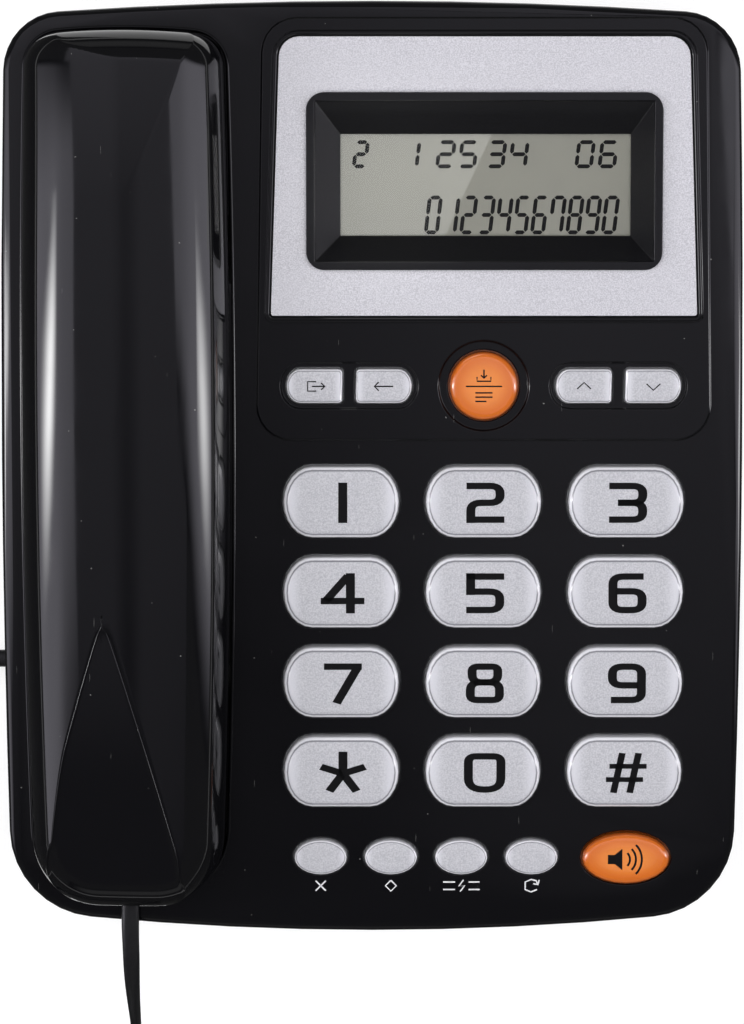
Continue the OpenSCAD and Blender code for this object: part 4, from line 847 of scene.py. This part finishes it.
def sweep_cable(stops, width, thickness, sides=12):
    """Extrude a flat rounded section along stops of point and width direction."""
    squareness = 0.75
    bm = bmesh.new()
    ring = bmesh.ops.create_circle(bm, cap_ends=True, segments=sides, radius=1)["verts"]
    for vertex in ring:
        wide = math.copysign(abs(vertex.co.x) ** squareness, vertex.co.x) * width / 2
        high = math.copysign(abs(vertex.co.y) ** squareness, vertex.co.y) * thickness / 2
        vertex.co = (wide, high, 0)
    edges = list({edge for vertex in ring for edge in vertex.link_edges})
    last = len(stops) - 1
    old = Matrix.Identity(4)
    wide_before = stops[0][1]
    for i, (point, wide) in enumerate(stops):
        along = (stops[min(i + 1, last)][0] - stops[max(i - 1, 0)][0]).normalized()
        wide = wide if wide.dot(wide_before) >= 0 else -wide
        wide_before = wide
        thick = along.cross(wide).normalized()
        turn = Matrix((thick.cross(along), thick, along)).transposed().to_4x4()
        new = Matrix.Translation(point) @ turn
        if i:
            grown = bmesh.ops.extrude_edge_only(bm, edges=edges)["geom"]
            ring = [g for g in grown if isinstance(g, bmesh.types.BMVert)]
            in_ring = set(ring)
            edges = [
                g for g in grown if isinstance(g, bmesh.types.BMEdge) and set(g.verts) <= in_ring
            ]
        bmesh.ops.transform(bm, matrix=new @ old.inverted(), verts=ring)
        old = new
    bmesh.ops.edgeloop_fill(bm, edges=edges)
    bmesh.ops.recalc_face_normals(bm, faces=bm.faces)
    return bm


class TELEPHONE_OT_cord(bpy.types.Operator):
    """Lay the curly cord from the handset's plug to the plug in the side of the base"""

    bl_idname = "telephone.cord"
    bl_label = "Lay Cord"

    def execute(self, context):
        sizes = context.scene.telephone_sizes
        out_of_handset = FACE_TURN.to_3x3() @ Vector((0, -1, 0))
        exit_point = plug_end("handset_plug", out_of_handset)
        proud = 0.3 * MM
        rings_per_curl = 16
        mouth = exit_point - out_of_handset * proud
        base_end = plug_end("base_plug", Vector((-1, 0, 0)))
        curl_z = sizes.curl_radius + sizes.cable_thickness / 2 + CURL_LIFT
        curl_start = Vector((mouth.x, mouth.y, curl_z)) + mm(*CURL_START)
        curl = Curl(curl_start, sizes)
        curl_exit = curl.axis(curl.length)
        first = [Vector((mouth.x, mouth.y, 0)) + mm(*place) for place in HANDSET_TAIL]
        last = [Vector((curl_exit.x, curl_exit.y, 0)) + mm(*place) for place in BASE_TAIL]
        straight_in = [base_end - Vector((sizes.cable_width, 0, 0)), base_end]
        upright_share = 1 - UPRIGHT_END / len(HANDSET_TAIL)
        stops = tail_stops([exit_point] + first + [curl_start], lambda t: ease(t / upright_share))
        stops += curl.stops(rings_per_curl)[1:]
        stops += tail_stops([curl_exit] + last + straight_in, lambda t: 1 - ease(t))
        bm = sweep_cable(stops, sizes.cable_width, sizes.cable_thickness)
        cord = new_piece("curly_cord", bm, "flexible_pvc", None)
        cord.data.shade_smooth()
        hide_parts("handset_cord_tail", "handset_cord_curl", "base_cord_tail")
        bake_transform(cord)
        return {"FINISHED"}


# Housing


class TELEPHONE_OT_housing(bpy.types.Operator):
    """Mould the base shells, the hook and the small covers with rounded edges"""

    bl_idname = "telephone.housing"
    bl_label = "Mould Housing"

    def execute(self, context):
        edge = context.scene.telephone_sizes.edge_round
        for node in ("base_upper_shell", "base_lower_shell", "battery_door", "ringer_switch", "hook_plunger"):
            dress(node, "polished_black_abs", edge)
        for node in ("line_jack", "handset_jack"):
            dress(node, "textured_dark_abs", edge / 2)
        return {"FINISHED"}


# Display

SEGMENTS_OF = {
    "0": "abcdef", "1": "bc", "2": "abdeg", "3": "abcdg", "4": "bcfg",
    "5": "acdfg", "6": "acdefg", "7": "abcf", "8": "abcdefg", "9": "abcdfg",
}
# Middle and direction of each segment, in a digit from -0.5 to 0.5 wide and -1 to 1 high
SEGMENT_PLACES = {
    "a": (0, 1, 0), "b": (0.5, 0.5, 1), "c": (0.5, -0.5, 1), "d": (0, -1, 0),
    "e": (-0.5, -0.5, 1), "f": (-0.5, 0.5, 1), "g": (0, 0, 0),
}


def add_digit(bm, digit, middle, width, height, bar, lean):
    """Lay the segments of one display digit, each a bar with pointed ends."""
    for name in SEGMENTS_OF[digit]:
        x, y, upright = SEGMENT_PLACES[name]
        reach = height / 4 if upright else width / 2
        gap = 0.12 * bar
        for vertex in bmesh.ops.create_circle(bm, cap_ends=True, segments=6, radius=1)["verts"]:
            side = 0 if abs(vertex.co.x) < 0.1 else math.copysign(1, vertex.co.x)
            tip = abs(vertex.co.y) > 0.9
            along = math.copysign(reach - gap - (0 if tip else bar / 2), vertex.co.y)
            flat = Vector((side * bar / 2, along)) if upright else Vector((along, -side * bar / 2))
            flat += Vector((x * width, y * height / 2))
            vertex.co = FACE @ (middle + Vector((flat.x + lean * flat.y, flat.y, 0)))


class TELEPHONE_OT_display(bpy.types.Operator):
    """Finish the silver panel, the frame of the display and the digits under its lens"""

    bl_idname = "telephone.display"
    bl_label = "Make Display"

    def lift_lens(self):
        """Stand a lens in place that clears the display film by a little air."""
        air = 0.12 * MM
        low, high = face_box("display_lens")
        thin = Matrix.Diagonal((1, 1, 1 - air / (high.z - low.z), 1))
        about = FACE @ Matrix.Translation(high)
        bm = merged_copy("display_lens")
        bmesh.ops.transform(bm, matrix=about @ thin @ about.inverted(), verts=bm.verts)
        lens = new_piece("display_lens_sheet", bm, "polished_acrylic", "base")
        lens.data.shade_flat()
        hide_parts("display_lens")

    def execute(self, context):
        edge = context.scene.telephone_sizes.edge_round
        dress("display_panel", "silver_lacquer", edge / 3)
        narrow_rim = 0.2 * MM
        dress("display_bezel", "satin_black_abs", narrow_rim, 3)
        self.lift_lens()
        over_film = 0.03 * MM
        middle = face_middle("lcd_panel") + Vector((0, 0, over_film))
        bm = bmesh.new()
        lean, bar = 0.12, 0.92 * MM
        # Text, place of its last digit, height, width and pitch of a row, in millimetres
        rows = [
            ("2", -29, 7.1, 5.6, 2.6, 5), ("1", -17, 7.1, 5.6, 2.6, 5), ("25", -4, 7.1, 5.6, 3.4, 5.2),
            ("34", 7.8, 7.1, 5.6, 3.4, 5.2), ("06", 28.6, 7.1, 5.6, 3.4, 5.4),
            ("01234567890", 29.2, -7.0, 8.1, 2.6, 4.13),
        ]
        for text, right, up, height, width, pitch in rows:
            for i, digit in enumerate(reversed(text)):
                place = middle + mm(right - i * pitch, up)
                add_digit(bm, digit, place, width * MM, height * MM, bar, lean)
        bmesh.ops.recalc_face_normals(bm, faces=bm.faces)
        bmesh.ops.solidify(bm, geom=bm.faces[:], thickness=over_film)
        new_piece("display_digits", bm, "black_print", "base")
        return {"FINISHED"}


# Keys

# Ends of strokes that run past the middle lines of a digit's outer strokes
LEFT, RIGHT, BOTTOM, TOP = -0.15, 1.15, -0.1, 1.1
DIGIT_STROKES = {
    "key_1": [[(0.5, BOTTOM), (0.5, TOP)]],
    "key_2": [[(LEFT, 1), (1, 1), (1, 0.5), (0, 0.5), (0, BOTTOM)], [(LEFT, 0), (RIGHT, 0)]],
    "key_3": [[(LEFT, 1), (1, 1), (1, 0.5), (0.15, 0.5)], [(0.15, 0.5), (1, 0.5), (1, 0), (LEFT, 0)]],
    "key_4": [[(0.68, 1.02), (-0.08, 0.28)], [(-0.26, 0.27), (1.24, 0.27)], [(0.76, TOP), (0.76, BOTTOM)]],
    "key_5": [[(RIGHT, 1), (LEFT, 1)], [(0, TOP), (0, 0.45)], [(LEFT, 0.55), (1, 0.55), (1, 0), (LEFT, 0)]],
    "key_6": [[(1.05, 1), (0, 1), (0, 0), (1, 0), (1, 0.56), (0.1, 0.56)]],
    "key_7": [[(LEFT, 1), (RIGHT, 1)], [(1.02, 1), (0.28, BOTTOM)]],
    "key_8": [
        [(0.5, 1), (0.94, 1), (0.94, 0.53), (0.06, 0.53), (0.06, 1), (0.5, 1)],
        [(0.5, 0), (1, 0), (1, 0.53), (0, 0.53), (0, 0), (0.5, 0)],
    ],
    "key_9": [[(-0.05, 0), (1, 0), (1, 1), (0, 1), (0, 0.44), (0.9, 0.44)]],
    "key_0": [[(0.5, 1), (1.06, 1), (1.06, 0), (-0.06, 0), (-0.06, 1), (0.5, 1)]],
    "key_hash": [
        [(0.06, BOTTOM), (0.36, TOP)], [(0.62, BOTTOM), (0.92, TOP)], [(-0.2, 0.3), (1.08, 0.3)],
        [(-0.08, 0.7), (1.2, 0.7)],
    ],
    "key_star": [
        [(0.5, 0.48), (0.5 + 0.8 * math.cos(a), 0.48 + 0.66 * math.sin(a))]
        for a in [math.radians(90 + 72 * i) for i in range(5)]
    ],
}
# Keys whose corners are rounder, or whose strokes are lighter, than those of the others
ROUNDER = {"key_0": 1.5}
LIGHTER = {"key_hash": 0.76}
# Plain signs in millimetres about the middle of a key: strokes as lists of corners
KEY_SIGNS = {
    "exit_key": [
        [(0.4, 1.1), (-1.6, 1.1), (-1.6, -1.1), (0.4, -1.1)], [(-0.6, 0), (2.4, 0)],
        [(1.5, 0.8), (2.4, 0), (1.5, -0.8)],
    ],
    "back_key": [[(2.2, 0), (-2.2, 0)], [(-1.2, 1), (-2.2, 0), (-1.2, -1)]],
    "up_key": [[(-1.6, -0.6), (0, 0.9), (1.6, -0.6)]],
    "down_key": [[(-1.6, 0.6), (0, -0.9), (1.6, 0.6)]],
    "call_key": [
        [(-4.2, 0), (4.2, 0)], [(-1.6, 2.2), (-1.6, 1.2), (1.6, 1.2), (1.6, 2.2)], [(0, 3.9), (0, 1.9)],
        [(-0.7, 2.6), (0, 1.9), (0.7, 2.6)], [(-2, -1.5), (2, -1.5)], [(-2, -2.5), (2, -2.5)],
        [(-2, -3.5), (0.6, -3.5)],
    ],
    "store_key": [[(-1.2, -1.2), (1.2, 1.2)], [(-1.2, 1.2), (1.2, -1.2)]],
    "delete_key": [[(0, 1.3), (1.3, 0), (0, -1.3), (-1.3, 0), (0, 1.3)]],
    "flash_key": [
        [(-4.2, 0.9), (-1.4, 0.9)], [(-4.2, -0.9), (-1.4, -0.9)],
        [(0.6, 1.4), (-0.5, -0.1), (0.9, 0.1), (-0.2, -1.4)],
        [(1.8, 0.9), (4.4, 0.9)], [(1.8, -0.9), (4.4, -0.9)],
    ],
    "redial_key": [
        [(1.5, 0.4), (1.2, 1.2), (0, 1.5), (-1.4, 0.9), (-1.4, -0.9), (0, -1.5), (1.4, -0.9)],
        [(0.5, 0.5), (1.6, 0.3), (1.9, 1.4)],
    ],
}


def reach_of(face, middle):
    """How far a key's face reaches from its middle, along and across."""
    to_face = FACE.inverted()
    corners = [to_face @ vertex.co - middle for vertex in face.verts]
    return [max(abs(corner[i]) for corner in corners) for i in range(2)]


def step_in(bm, face, middle, inset, rise):
    """Draw a ring in from a face's outline towards its middle, and raise the face within it."""
    bmesh.ops.inset_region(bm, faces=[face], thickness=0)
    reach = reach_of(face, middle)
    shrink = Matrix.Diagonal((1 - inset / reach[0], 1 - inset / reach[1], 1, 1))
    about = FACE @ Matrix.Translation(middle)
    lift = Matrix.Translation((0, 0, rise))
    bmesh.ops.transform(bm, matrix=about @ lift @ shrink @ about.inverted(), verts=face.verts)


def cap_key(node, finish, dome):
    """Stand a copy of a key in its place, with a slightly raised middle. Dome is the width of its slope."""
    rise = bpy.context.scene.telephone_sizes.cap_rise
    rest, level = 0.2 * MM, 0.999
    bm = merged_copy(node)
    facing = [face for face in bm.faces if face.normal.dot(FACE_NORMAL) > level]
    top = max(facing, key=lambda face: face.calc_center_median().dot(FACE_NORMAL))
    middle = face_middle(node)
    to_face = FACE.inverted()
    reach = reach_of(top, middle)
    for inset, lift in ((rest, 0), (dome, rise), (rest, 0)):
        step_in(bm, top, middle, inset, lift)
    uv = bm.loops.layers.uv.new("cap")
    for face in bm.faces:
        for loop in face.loops:
            flat = to_face @ loop.vert.co - middle
            loop[uv].uv = (flat.x / reach[0], flat.y / reach[1])
    key = new_piece(node + "_cap", bm, finish, BODY_OF[node])
    smooth_piece(key, 24)
    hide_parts(node)
    return key


def print_on_key(node, name, strokes, width, widen=1.0, shift=0.0):
    """Print strokes, given in metres about the middle of a key, on its raised face."""
    over_face = bpy.context.scene.telephone_sizes.cap_rise + 0.035 * MM
    place = FACE @ Matrix.Translation(face_middle(node) + Vector((shift, 0, over_face)))
    place = place @ Matrix.Diagonal((widen, 1, 1, 1))
    placed = [(path, width, place) for path in strokes]
    return add_print(node + name, placed, BODY_OF[node], "black_print")


def sign_strokes(node):
    """The plain sign of a key as paths in metres."""
    return [[mm(x, y) for x, y in corners] for corners in KEY_SIGNS[node]]


class TELEPHONE_OT_number_keys(bpy.types.Operator):
    """Make the twelve large number keys with their digits"""

    bl_idname = "telephone.number_keys"
    bl_label = "Make Number Keys"

    def execute(self, context):
        sizes = context.scene.telephone_sizes
        stroke = sizes.digit_stroke
        # Digits are drawn narrow and then widened, so their upright strokes are the heavier ones
        widen = 1.38
        box = Vector((sizes.digit_width / widen - stroke, sizes.digit_height - stroke, 0))
        rounding = 1.75 * MM
        to_the_right = 0.4 * MM
        dome = 1.7 * MM
        for node in NUMBER_KEYS:
            cap_key(node, "silver_cap", dome)
            strokes = []
            for corners in DIGIT_STROKES[node]:
                points = [Vector(((x - 0.5) * box.x, (y - 0.5) * box.y, 0)) for x, y in corners]
                strokes.append(round_path(points, rounding * ROUNDER.get(node, 1.0)))
            print_on_key(node, "_digit", strokes, stroke * LIGHTER.get(node, 1.0), widen, to_the_right)
        return {"FINISHED"}


class TELEPHONE_OT_small_keys(bpy.types.Operator):
    """Make the silver keys above and below the numbers, with plain signs"""

    bl_idname = "telephone.small_keys"
    bl_label = "Make Small Keys"

    def execute(self, context):
        dome, stroke, pale_stroke = 0.9 * MM, 0.32 * MM, 0.34 * MM
        for node in FUNCTION_KEYS + SMALL_KEYS:
            cap_key(node, "silver_cap", dome)
        for node in FUNCTION_KEYS:
            print_on_key(node, "_sign", sign_strokes(node), stroke)
        below_key = mm(0, -7.1, 0.03)
        for node in SMALL_KEYS:
            middle = face_middle(node)
            place = FACE @ Matrix.Translation(Vector((middle.x, middle.y, 0)) + below_key)
            strokes = [(path, pale_stroke, place) for path in sign_strokes(node)]
            add_print(node + "_sign", strokes, "base", "pale_print")
        return {"FINISHED"}


class TELEPHONE_OT_orange_keys(bpy.types.Operator):
    """Make the round and the oval orange key with their signs"""

    bl_idname = "telephone.orange_keys"
    bl_label = "Make Orange Keys"

    def execute(self, context):
        dome, stroke, wave_stroke = 1.2 * MM, 0.34 * MM, 0.5 * MM
        for node in ("call_key", "speaker_key"):
            cap_key(node, "orange_cap", dome)
        print_on_key("call_key", "_sign", sign_strokes("call_key"), stroke)
        # A loudspeaker: its box, its horn and three waves
        waves = []
        for radius in (2.2, 3.6, 5.0):
            arc = [math.radians(a) for a in range(-44, 45, 8)]
            waves.append([mm(-1.3 + radius * math.cos(a), radius * math.sin(a)) for a in arc])
        print_on_key("speaker_key", "_waves", waves, wave_stroke)
        box_left, horn_left, box_height = -4.3, -2.7, 2.2
        print_on_key("speaker_key", "_box", [[mm(box_left, 0), mm(horn_left, 0)]], box_height * MM)
        # The horn is cut into slices that grow higher and overlap a little
        slices, step, overlap, first_height, growth = 6, 0.3, 0.01, 2.4, 0.5
        for i in range(slices):
            x = horn_left + i * step
            slice_of_horn = [mm(x, 0), mm(x + step + overlap, 0)]
            print_on_key("speaker_key", "_horn_%d" % i, [slice_of_horn], (first_height + i * growth) * MM)
        return {"FINISHED"}


# Handset

# Shape of the upper handset shell, in millimetres along the face's axes
CROWN_RADIUS = 60
SIDE_RADIUS = 13
SIDE_BULGE = 2.1
BACK_BULGE = 1.6
FRONT_BULGE = 0.7
BACK_CORNER = 8
FRONT_CORNER = 16
WIDEST_SHARE = 0.55
CREASE_LENGTH = 69.5
CREASE_DROP = 3.9
BACK_FALL_LENGTH = 37
BACK_DROP = 2.6
BACK_FALL_POWER = 1.8
NOSE = 7
WALL = 2.2
# The front crease points at a place a little left of the middle, and gets there over a stretch of its length
CREASE_MIDDLE = -5.0
CREASE_SWING = 40


def circles_meet(c1, r1, c2, r2, side):
    """Where two circles meet, on the left (1) or right (-1) of the line between their middles."""
    gap = c2 - c1
    along = gap.normalized()
    a = (r1 ** 2 - r2 ** 2 + gap.length_squared) / (2 * gap.length)
    h = math.sqrt(r1 ** 2 - a ** 2)
    return c1 + along * a + Vector((-along.y, along.x)) * h * side


def bulge_radius(half, rise):
    """Radius of an arc from its half chord and its rise."""
    return (half ** 2 + rise ** 2) / (2 * rise)


class HandsetForm:
    """The upper handset shell: its outline, its section and its falls to both ends, in millimetres."""

    def __init__(self):
        low, high = face_box("handset_upper_shell")
        self.u = (low.x + high.x) / 2 / MM
        self.half_w = (high.x - low.x) / 2 / MM
        self.v0, self.v1 = low.y / MM, high.y / MM
        self.top, self.split = high.z / MM, low.z / MM
        widest = self.v0 + WIDEST_SHARE * (self.v1 - self.v0)
        self.side_r = bulge_radius(max(self.v1 - widest, widest - self.v0), SIDE_BULGE)
        self.side_c = Vector((self.half_w - self.side_r, widest))
        # Back and front: the end's circle, the corner's circle and the way the end points
        self.ends = []
        for v, bulge, corner_r, sign in (
            (self.v1, BACK_BULGE, BACK_CORNER, 1),
            (self.v0, FRONT_BULGE, FRONT_CORNER, -1),
        ):
            end_r = bulge_radius(self.half_w, bulge)
            end_c = Vector((0, v - sign * end_r))
            corner = circles_meet(self.side_c, self.side_r - corner_r, end_c, end_r - corner_r, sign)
            self.ends.append((end_c, end_r, corner, corner_r, sign))
        self.side_mid = self.half_w - SIDE_RADIUS
        crown_mid = self.top - CROWN_RADIUS
        reach = CROWN_RADIUS - SIDE_RADIUS
        self.side_w = crown_mid + math.sqrt(reach ** 2 - self.side_mid ** 2)
        self.join = self.side_mid * CROWN_RADIUS / reach

    def along(self, share):
        """Place along the length for a share from 0 to 1 of its steps, which are finer at both ends."""
        return self.v0 + (self.v1 - self.v0) * (1 - math.cos(math.pi * share)) / 2

    def half(self, v):
        """Half the width of the outline at v."""
        for end_c, end_r, corner, corner_r, sign in self.ends:
            from_side = corner + (corner - self.side_c).normalized() * corner_r
            to_end = corner + (corner - end_c).normalized() * corner_r
            if (v - to_end.y) * sign >= 0:
                return math.sqrt(max(0.0, end_r ** 2 - (v - end_c.y) ** 2))
            if (v - from_side.y) * sign >= 0:
                return corner.x + math.sqrt(max(0.0, corner_r ** 2 - (v - corner.y) ** 2))
        return self.side_c.x + math.sqrt(self.side_r ** 2 - (v - self.side_c.y) ** 2)

    def section(self, u, half):
        """Height of the crown and the rounded sides across a place of that half width."""
        across = min(abs(u) * self.half_w / max(half, 1e-6), self.half_w)
        if across <= self.join:
            return self.top - CROWN_RADIUS + math.sqrt(CROWN_RADIUS ** 2 - across ** 2)
        return self.side_w + math.sqrt(max(0.0, SIDE_RADIUS ** 2 - (across - self.side_mid) ** 2))

    def from_edge(self, u, v):
        """Distance from the outline of the two ends, round their corners."""
        p = Vector((abs(u), v))
        gaps = []
        for end_c, end_r, corner, corner_r, _ in self.ends:
            to_side = (corner - self.side_c).normalized()
            to_end = (corner - end_c).normalized()
            out = p - corner
            turn = to_side.x * to_end.y - to_side.y * to_end.x
            side_part = (out.x * to_end.y - out.y * to_end.x) / turn
            end_part = (to_side.x * out.y - to_side.y * out.x) / turn
            if side_part > 0 and end_part > 0:
                gaps.append(corner_r - out.length)
            else:
                gaps.append(end_r - (p - end_c).length)
        return max(0.0, min(gaps))

    def back_drop(self, v):
        """How far the back has sunk at v."""
        return BACK_DROP * (max(0.0, v - self.v1 + BACK_FALL_LENGTH) / BACK_FALL_LENGTH) ** BACK_FALL_POWER

    def fall(self, u, v):
        """Height of the falls to the two ends, with their rounded noses."""
        front = max(0.0, self.v0 + CREASE_LENGTH - v) / CREASE_LENGTH
        m = CREASE_MIDDLE
        tangent = self.top + m ** 2 / (2 * CROWN_RADIUS) - m * u / CROWN_RADIUS
        height = min(tangent - CREASE_DROP * front ** 2, self.top - self.back_drop(v))
        x = self.from_edge(u, v)
        return height - (NOSE - math.sqrt(NOSE ** 2 - (NOSE - x) ** 2) if x < NOSE else 0)

    def height(self, u, v, half):
        """Height of the shell: the left of the back sinks whole, the rest is cut by the falls."""
        rise = self.section(u, half) - self.split
        if u < 0:
            rise *= 1 - self.back_drop(v) / (self.top - self.split)
        return min(self.split + rise, self.fall(u, v))

    def crease(self, v, half, side):
        """Where the creases start from, and where the crease on the left (-1) or right (1) lies."""
        start = max(-half / 2, CREASE_MIDDLE * ease((self.side_c.y - v) / CREASE_SWING + 0.5))
        near, far = start, side * half
        if side < 0 and v > self.side_c.y:
            return start, start
        for _ in range(30):
            mid = (near + far) / 2
            if self.section(mid, half) > self.fall(mid, v):
                near = mid
            else:
                far = mid
        return start, near


def add_ring(bm, middle, across, radius, sides):
    """A ring of vertices on the face, upright across a line; lengths in millimetres."""
    ring = []
    for k in range(sides):
        turn = 2 * math.pi * k / sides
        spot = middle + across * (radius * math.cos(turn)) + Vector((0, 0, radius * math.sin(turn)))
        ring.append(bm.verts.new(FACE @ (spot * MM)))
    return ring


def join_rings(bm, rings):
    """Faces between each ring and the next."""
    for last, ring in zip(rings, rings[1:]):
        for k in range(len(ring)):
            bm.faces.new((last[k - 1], last[k], ring[k], ring[k - 1]))


def add_trim(name, bm, node):
    """Make a piece of smooth trim on a node's body out of a mesh."""
    bmesh.ops.recalc_face_normals(bm, faces=bm.faces)
    trim = new_piece(name, bm, "polished_black_abs", BODY_OF[node])
    trim.data.shade_smooth()


def add_bead(form, node):
    """A fine bead on the housing's face, round the cradle."""
    radius, away, sides, steps = 0.36, 0.8, 8, 150
    outline = []
    for i in range(2 * steps):
        v = form.along(i / steps)
        outline.append(Vector((form.half(v) * (1 if i < steps else -1), v, 0)))
    bm = bmesh.new()
    rings = []
    for i, place in enumerate(outline):
        along = (outline[(i + 1) % len(outline)] - outline[i - 1]).normalized()
        out = Vector((along.y, -along.x, 0))
        rings.append(add_ring(bm, place + out * away + Vector((form.u, 0, 0)), out, radius, sides))
    join_rings(bm, [rings[-1]] + rings)
    add_trim("cradle_bead", bm, node)


def add_crease_lines(form, node):
    """Fine raised lines along the two creases of the handset's front."""
    radius, sides, steps, from_front = 0.2, 6, 70, 7.0
    across = Vector((1, 0, 0))
    bm = bmesh.new()
    for side in (-1, 1):
        rings = []
        for i in range(steps + 1):
            v = form.v0 + from_front + (CREASE_LENGTH - from_front) * i / steps
            half = form.half(v)
            fold = form.crease(v, half, side)[1]
            middle = Vector((form.u + fold, v, form.section(fold, half)))
            rings.append(add_ring(bm, middle, across, radius, sides))
        join_rings(bm, rings)
    bmesh.ops.holes_fill(bm, edges=[e for e in bm.edges if e.is_boundary], sides=0)
    add_trim("crease_lines", bm, node)


def mould_upper_shell(form, sizes):
    """A bmesh of the upper shell's outside: a grid whose columns follow the creases, and a skirt below it."""
    columns, rows = 80, 280
    # Share of the columns that lies between the creases, and the first column inside them
    inner, nearly = 0.4, 1e-4
    next_inside = inner - 2 / columns
    step, step_width = sizes.crease_step / MM, sizes.crease_width / MM
    # Distance of a crease from where it starts at which its step is whole, and its least distance
    full_step_at, least = 1.5, 0.4
    merge_distance = 1e-4
    bm = bmesh.new()
    grid = bmesh.ops.create_grid(bm, x_segments=columns, y_segments=rows, size=1)["verts"]
    lines = {}
    for vertex in grid:
        row = round((vertex.co.y + 1) / 2 * rows)
        if row not in lines:
            v = form.along(row / rows)
            half = form.half(v)
            lines[row] = v, half, form.crease(v, half, -1), form.crease(v, half, 1)
        v, half, left, right = lines[row]
        side = -1 if vertex.co.x < 0 else 1
        start, fold = left if side < 0 else right
        spread_out = abs(fold - start)
        fold = start + side * max(spread_out, min(least, half / 4))
        share = abs(vertex.co.x)
        inside = share < inner - nearly
        if inside:
            narrow = side * min(step_width, abs(fold - start) / 4)
            u = start + (fold - narrow - start) * share / next_inside
        else:
            u = fold + (side * half - fold) * math.sin(math.pi / 2 * (share - inner) / (1 - inner))
        w = form.height(u, v, half)
        if inside and v < form.side_c.y:
            w -= step * ease(spread_out / full_step_at)
        vertex.co = Vector((form.u + u, v, max(form.split, w)))
    rim = [e for e in bm.edges if e.is_boundary]
    skirt = bmesh.ops.extrude_edge_only(bm, edges=rim)["geom"]
    for vertex in [g for g in skirt if isinstance(g, bmesh.types.BMVert)]:
        vertex.co.z = form.split
    bmesh.ops.remove_doubles(bm, verts=bm.verts, dist=merge_distance)
    bmesh.ops.transform(bm, matrix=FACE @ Matrix.Diagonal((MM, MM, MM, 1)), verts=bm.verts)
    bmesh.ops.recalc_face_normals(bm, faces=bm.faces)
    return bm


class TELEPHONE_OT_handset(bpy.types.Operator):
    """Mould the handset: a crowned upper shell with creases at both ends, and the lower shell"""

    bl_idname = "telephone.handset"
    bl_label = "Mould Handset"

    def execute(self, context):
        sizes = context.scene.telephone_sizes
        form = HandsetForm()
        node = "handset_upper_shell"
        bm = mould_upper_shell(form, sizes)
        shell = new_piece(node + "_moulding", bm, "polished_black_abs", BODY_OF[node])
        shell.data.shade_smooth()
        wall = shell.modifiers.new("wall", "SOLIDIFY")
        wall.thickness = WALL * MM
        wall.offset = -1
        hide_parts(node)
        add_bead(form, "base_upper_shell")
        add_crease_lines(form, node)
        dress("handset_lower_shell", "polished_black_abs", sizes.edge_round)
        return {"FINISHED"}


PIECES = [
    TELEPHONE_OT_finishes, TELEPHONE_OT_stage, TELEPHONE_OT_cord, TELEPHONE_OT_housing, TELEPHONE_OT_display,
    TELEPHONE_OT_number_keys, TELEPHONE_OT_small_keys, TELEPHONE_OT_orange_keys, TELEPHONE_OT_handset,
]


class TELEPHONE_PT_panel(bpy.types.Panel):
    """Lists the telephone's pieces and its sizes and colours"""

    bl_idname = "TELEPHONE_PT_panel"
    bl_label = "Telephone"
    bl_space_type = "VIEW_3D"
    bl_region_type = "UI"
    bl_category = "Telephone"

    def draw(self, context):
        """List a button for each operator and a field for each property."""
        for operator in PIECES:
            self.layout.operator(operator.bl_idname)
        for group in (context.scene.telephone_colours, context.scene.telephone_sizes, context.scene.telephone_stage):
            for name in group.bl_rna.properties.keys():
                if name not in ("rna_type", "name"):
                    self.layout.prop(group, name)


GROUPS = {
    "telephone_colours": TelephoneColours,
    "telephone_sizes": TelephoneSizes,
    "telephone_stage": TelephoneStage,
}


def register():
    """Add the operators, the panel and the properties to Blender."""
    for cls in [*GROUPS.values(), *PIECES, TELEPHONE_PT_panel]:
        bpy.utils.register_class(cls)
    for name, group in GROUPS.items():
        setattr(bpy.types.Scene, name, PointerProperty(type=group))


def unregister():
    """Take them away again."""
    for name in GROUPS:
        delattr(bpy.types.Scene, name)
    for cls in reversed([*GROUPS.values(), *PIECES, TELEPHONE_PT_panel]):
        bpy.utils.unregister_class(cls)


def main():
    """Build the telephone on its stage."""
    register()
    for operator in PIECES:
        area, name = operator.bl_idname.split(".")
        getattr(getattr(bpy.ops, area), name)()
    bpy.context.view_layer.update()


if __name__ == "__main__":
    main()
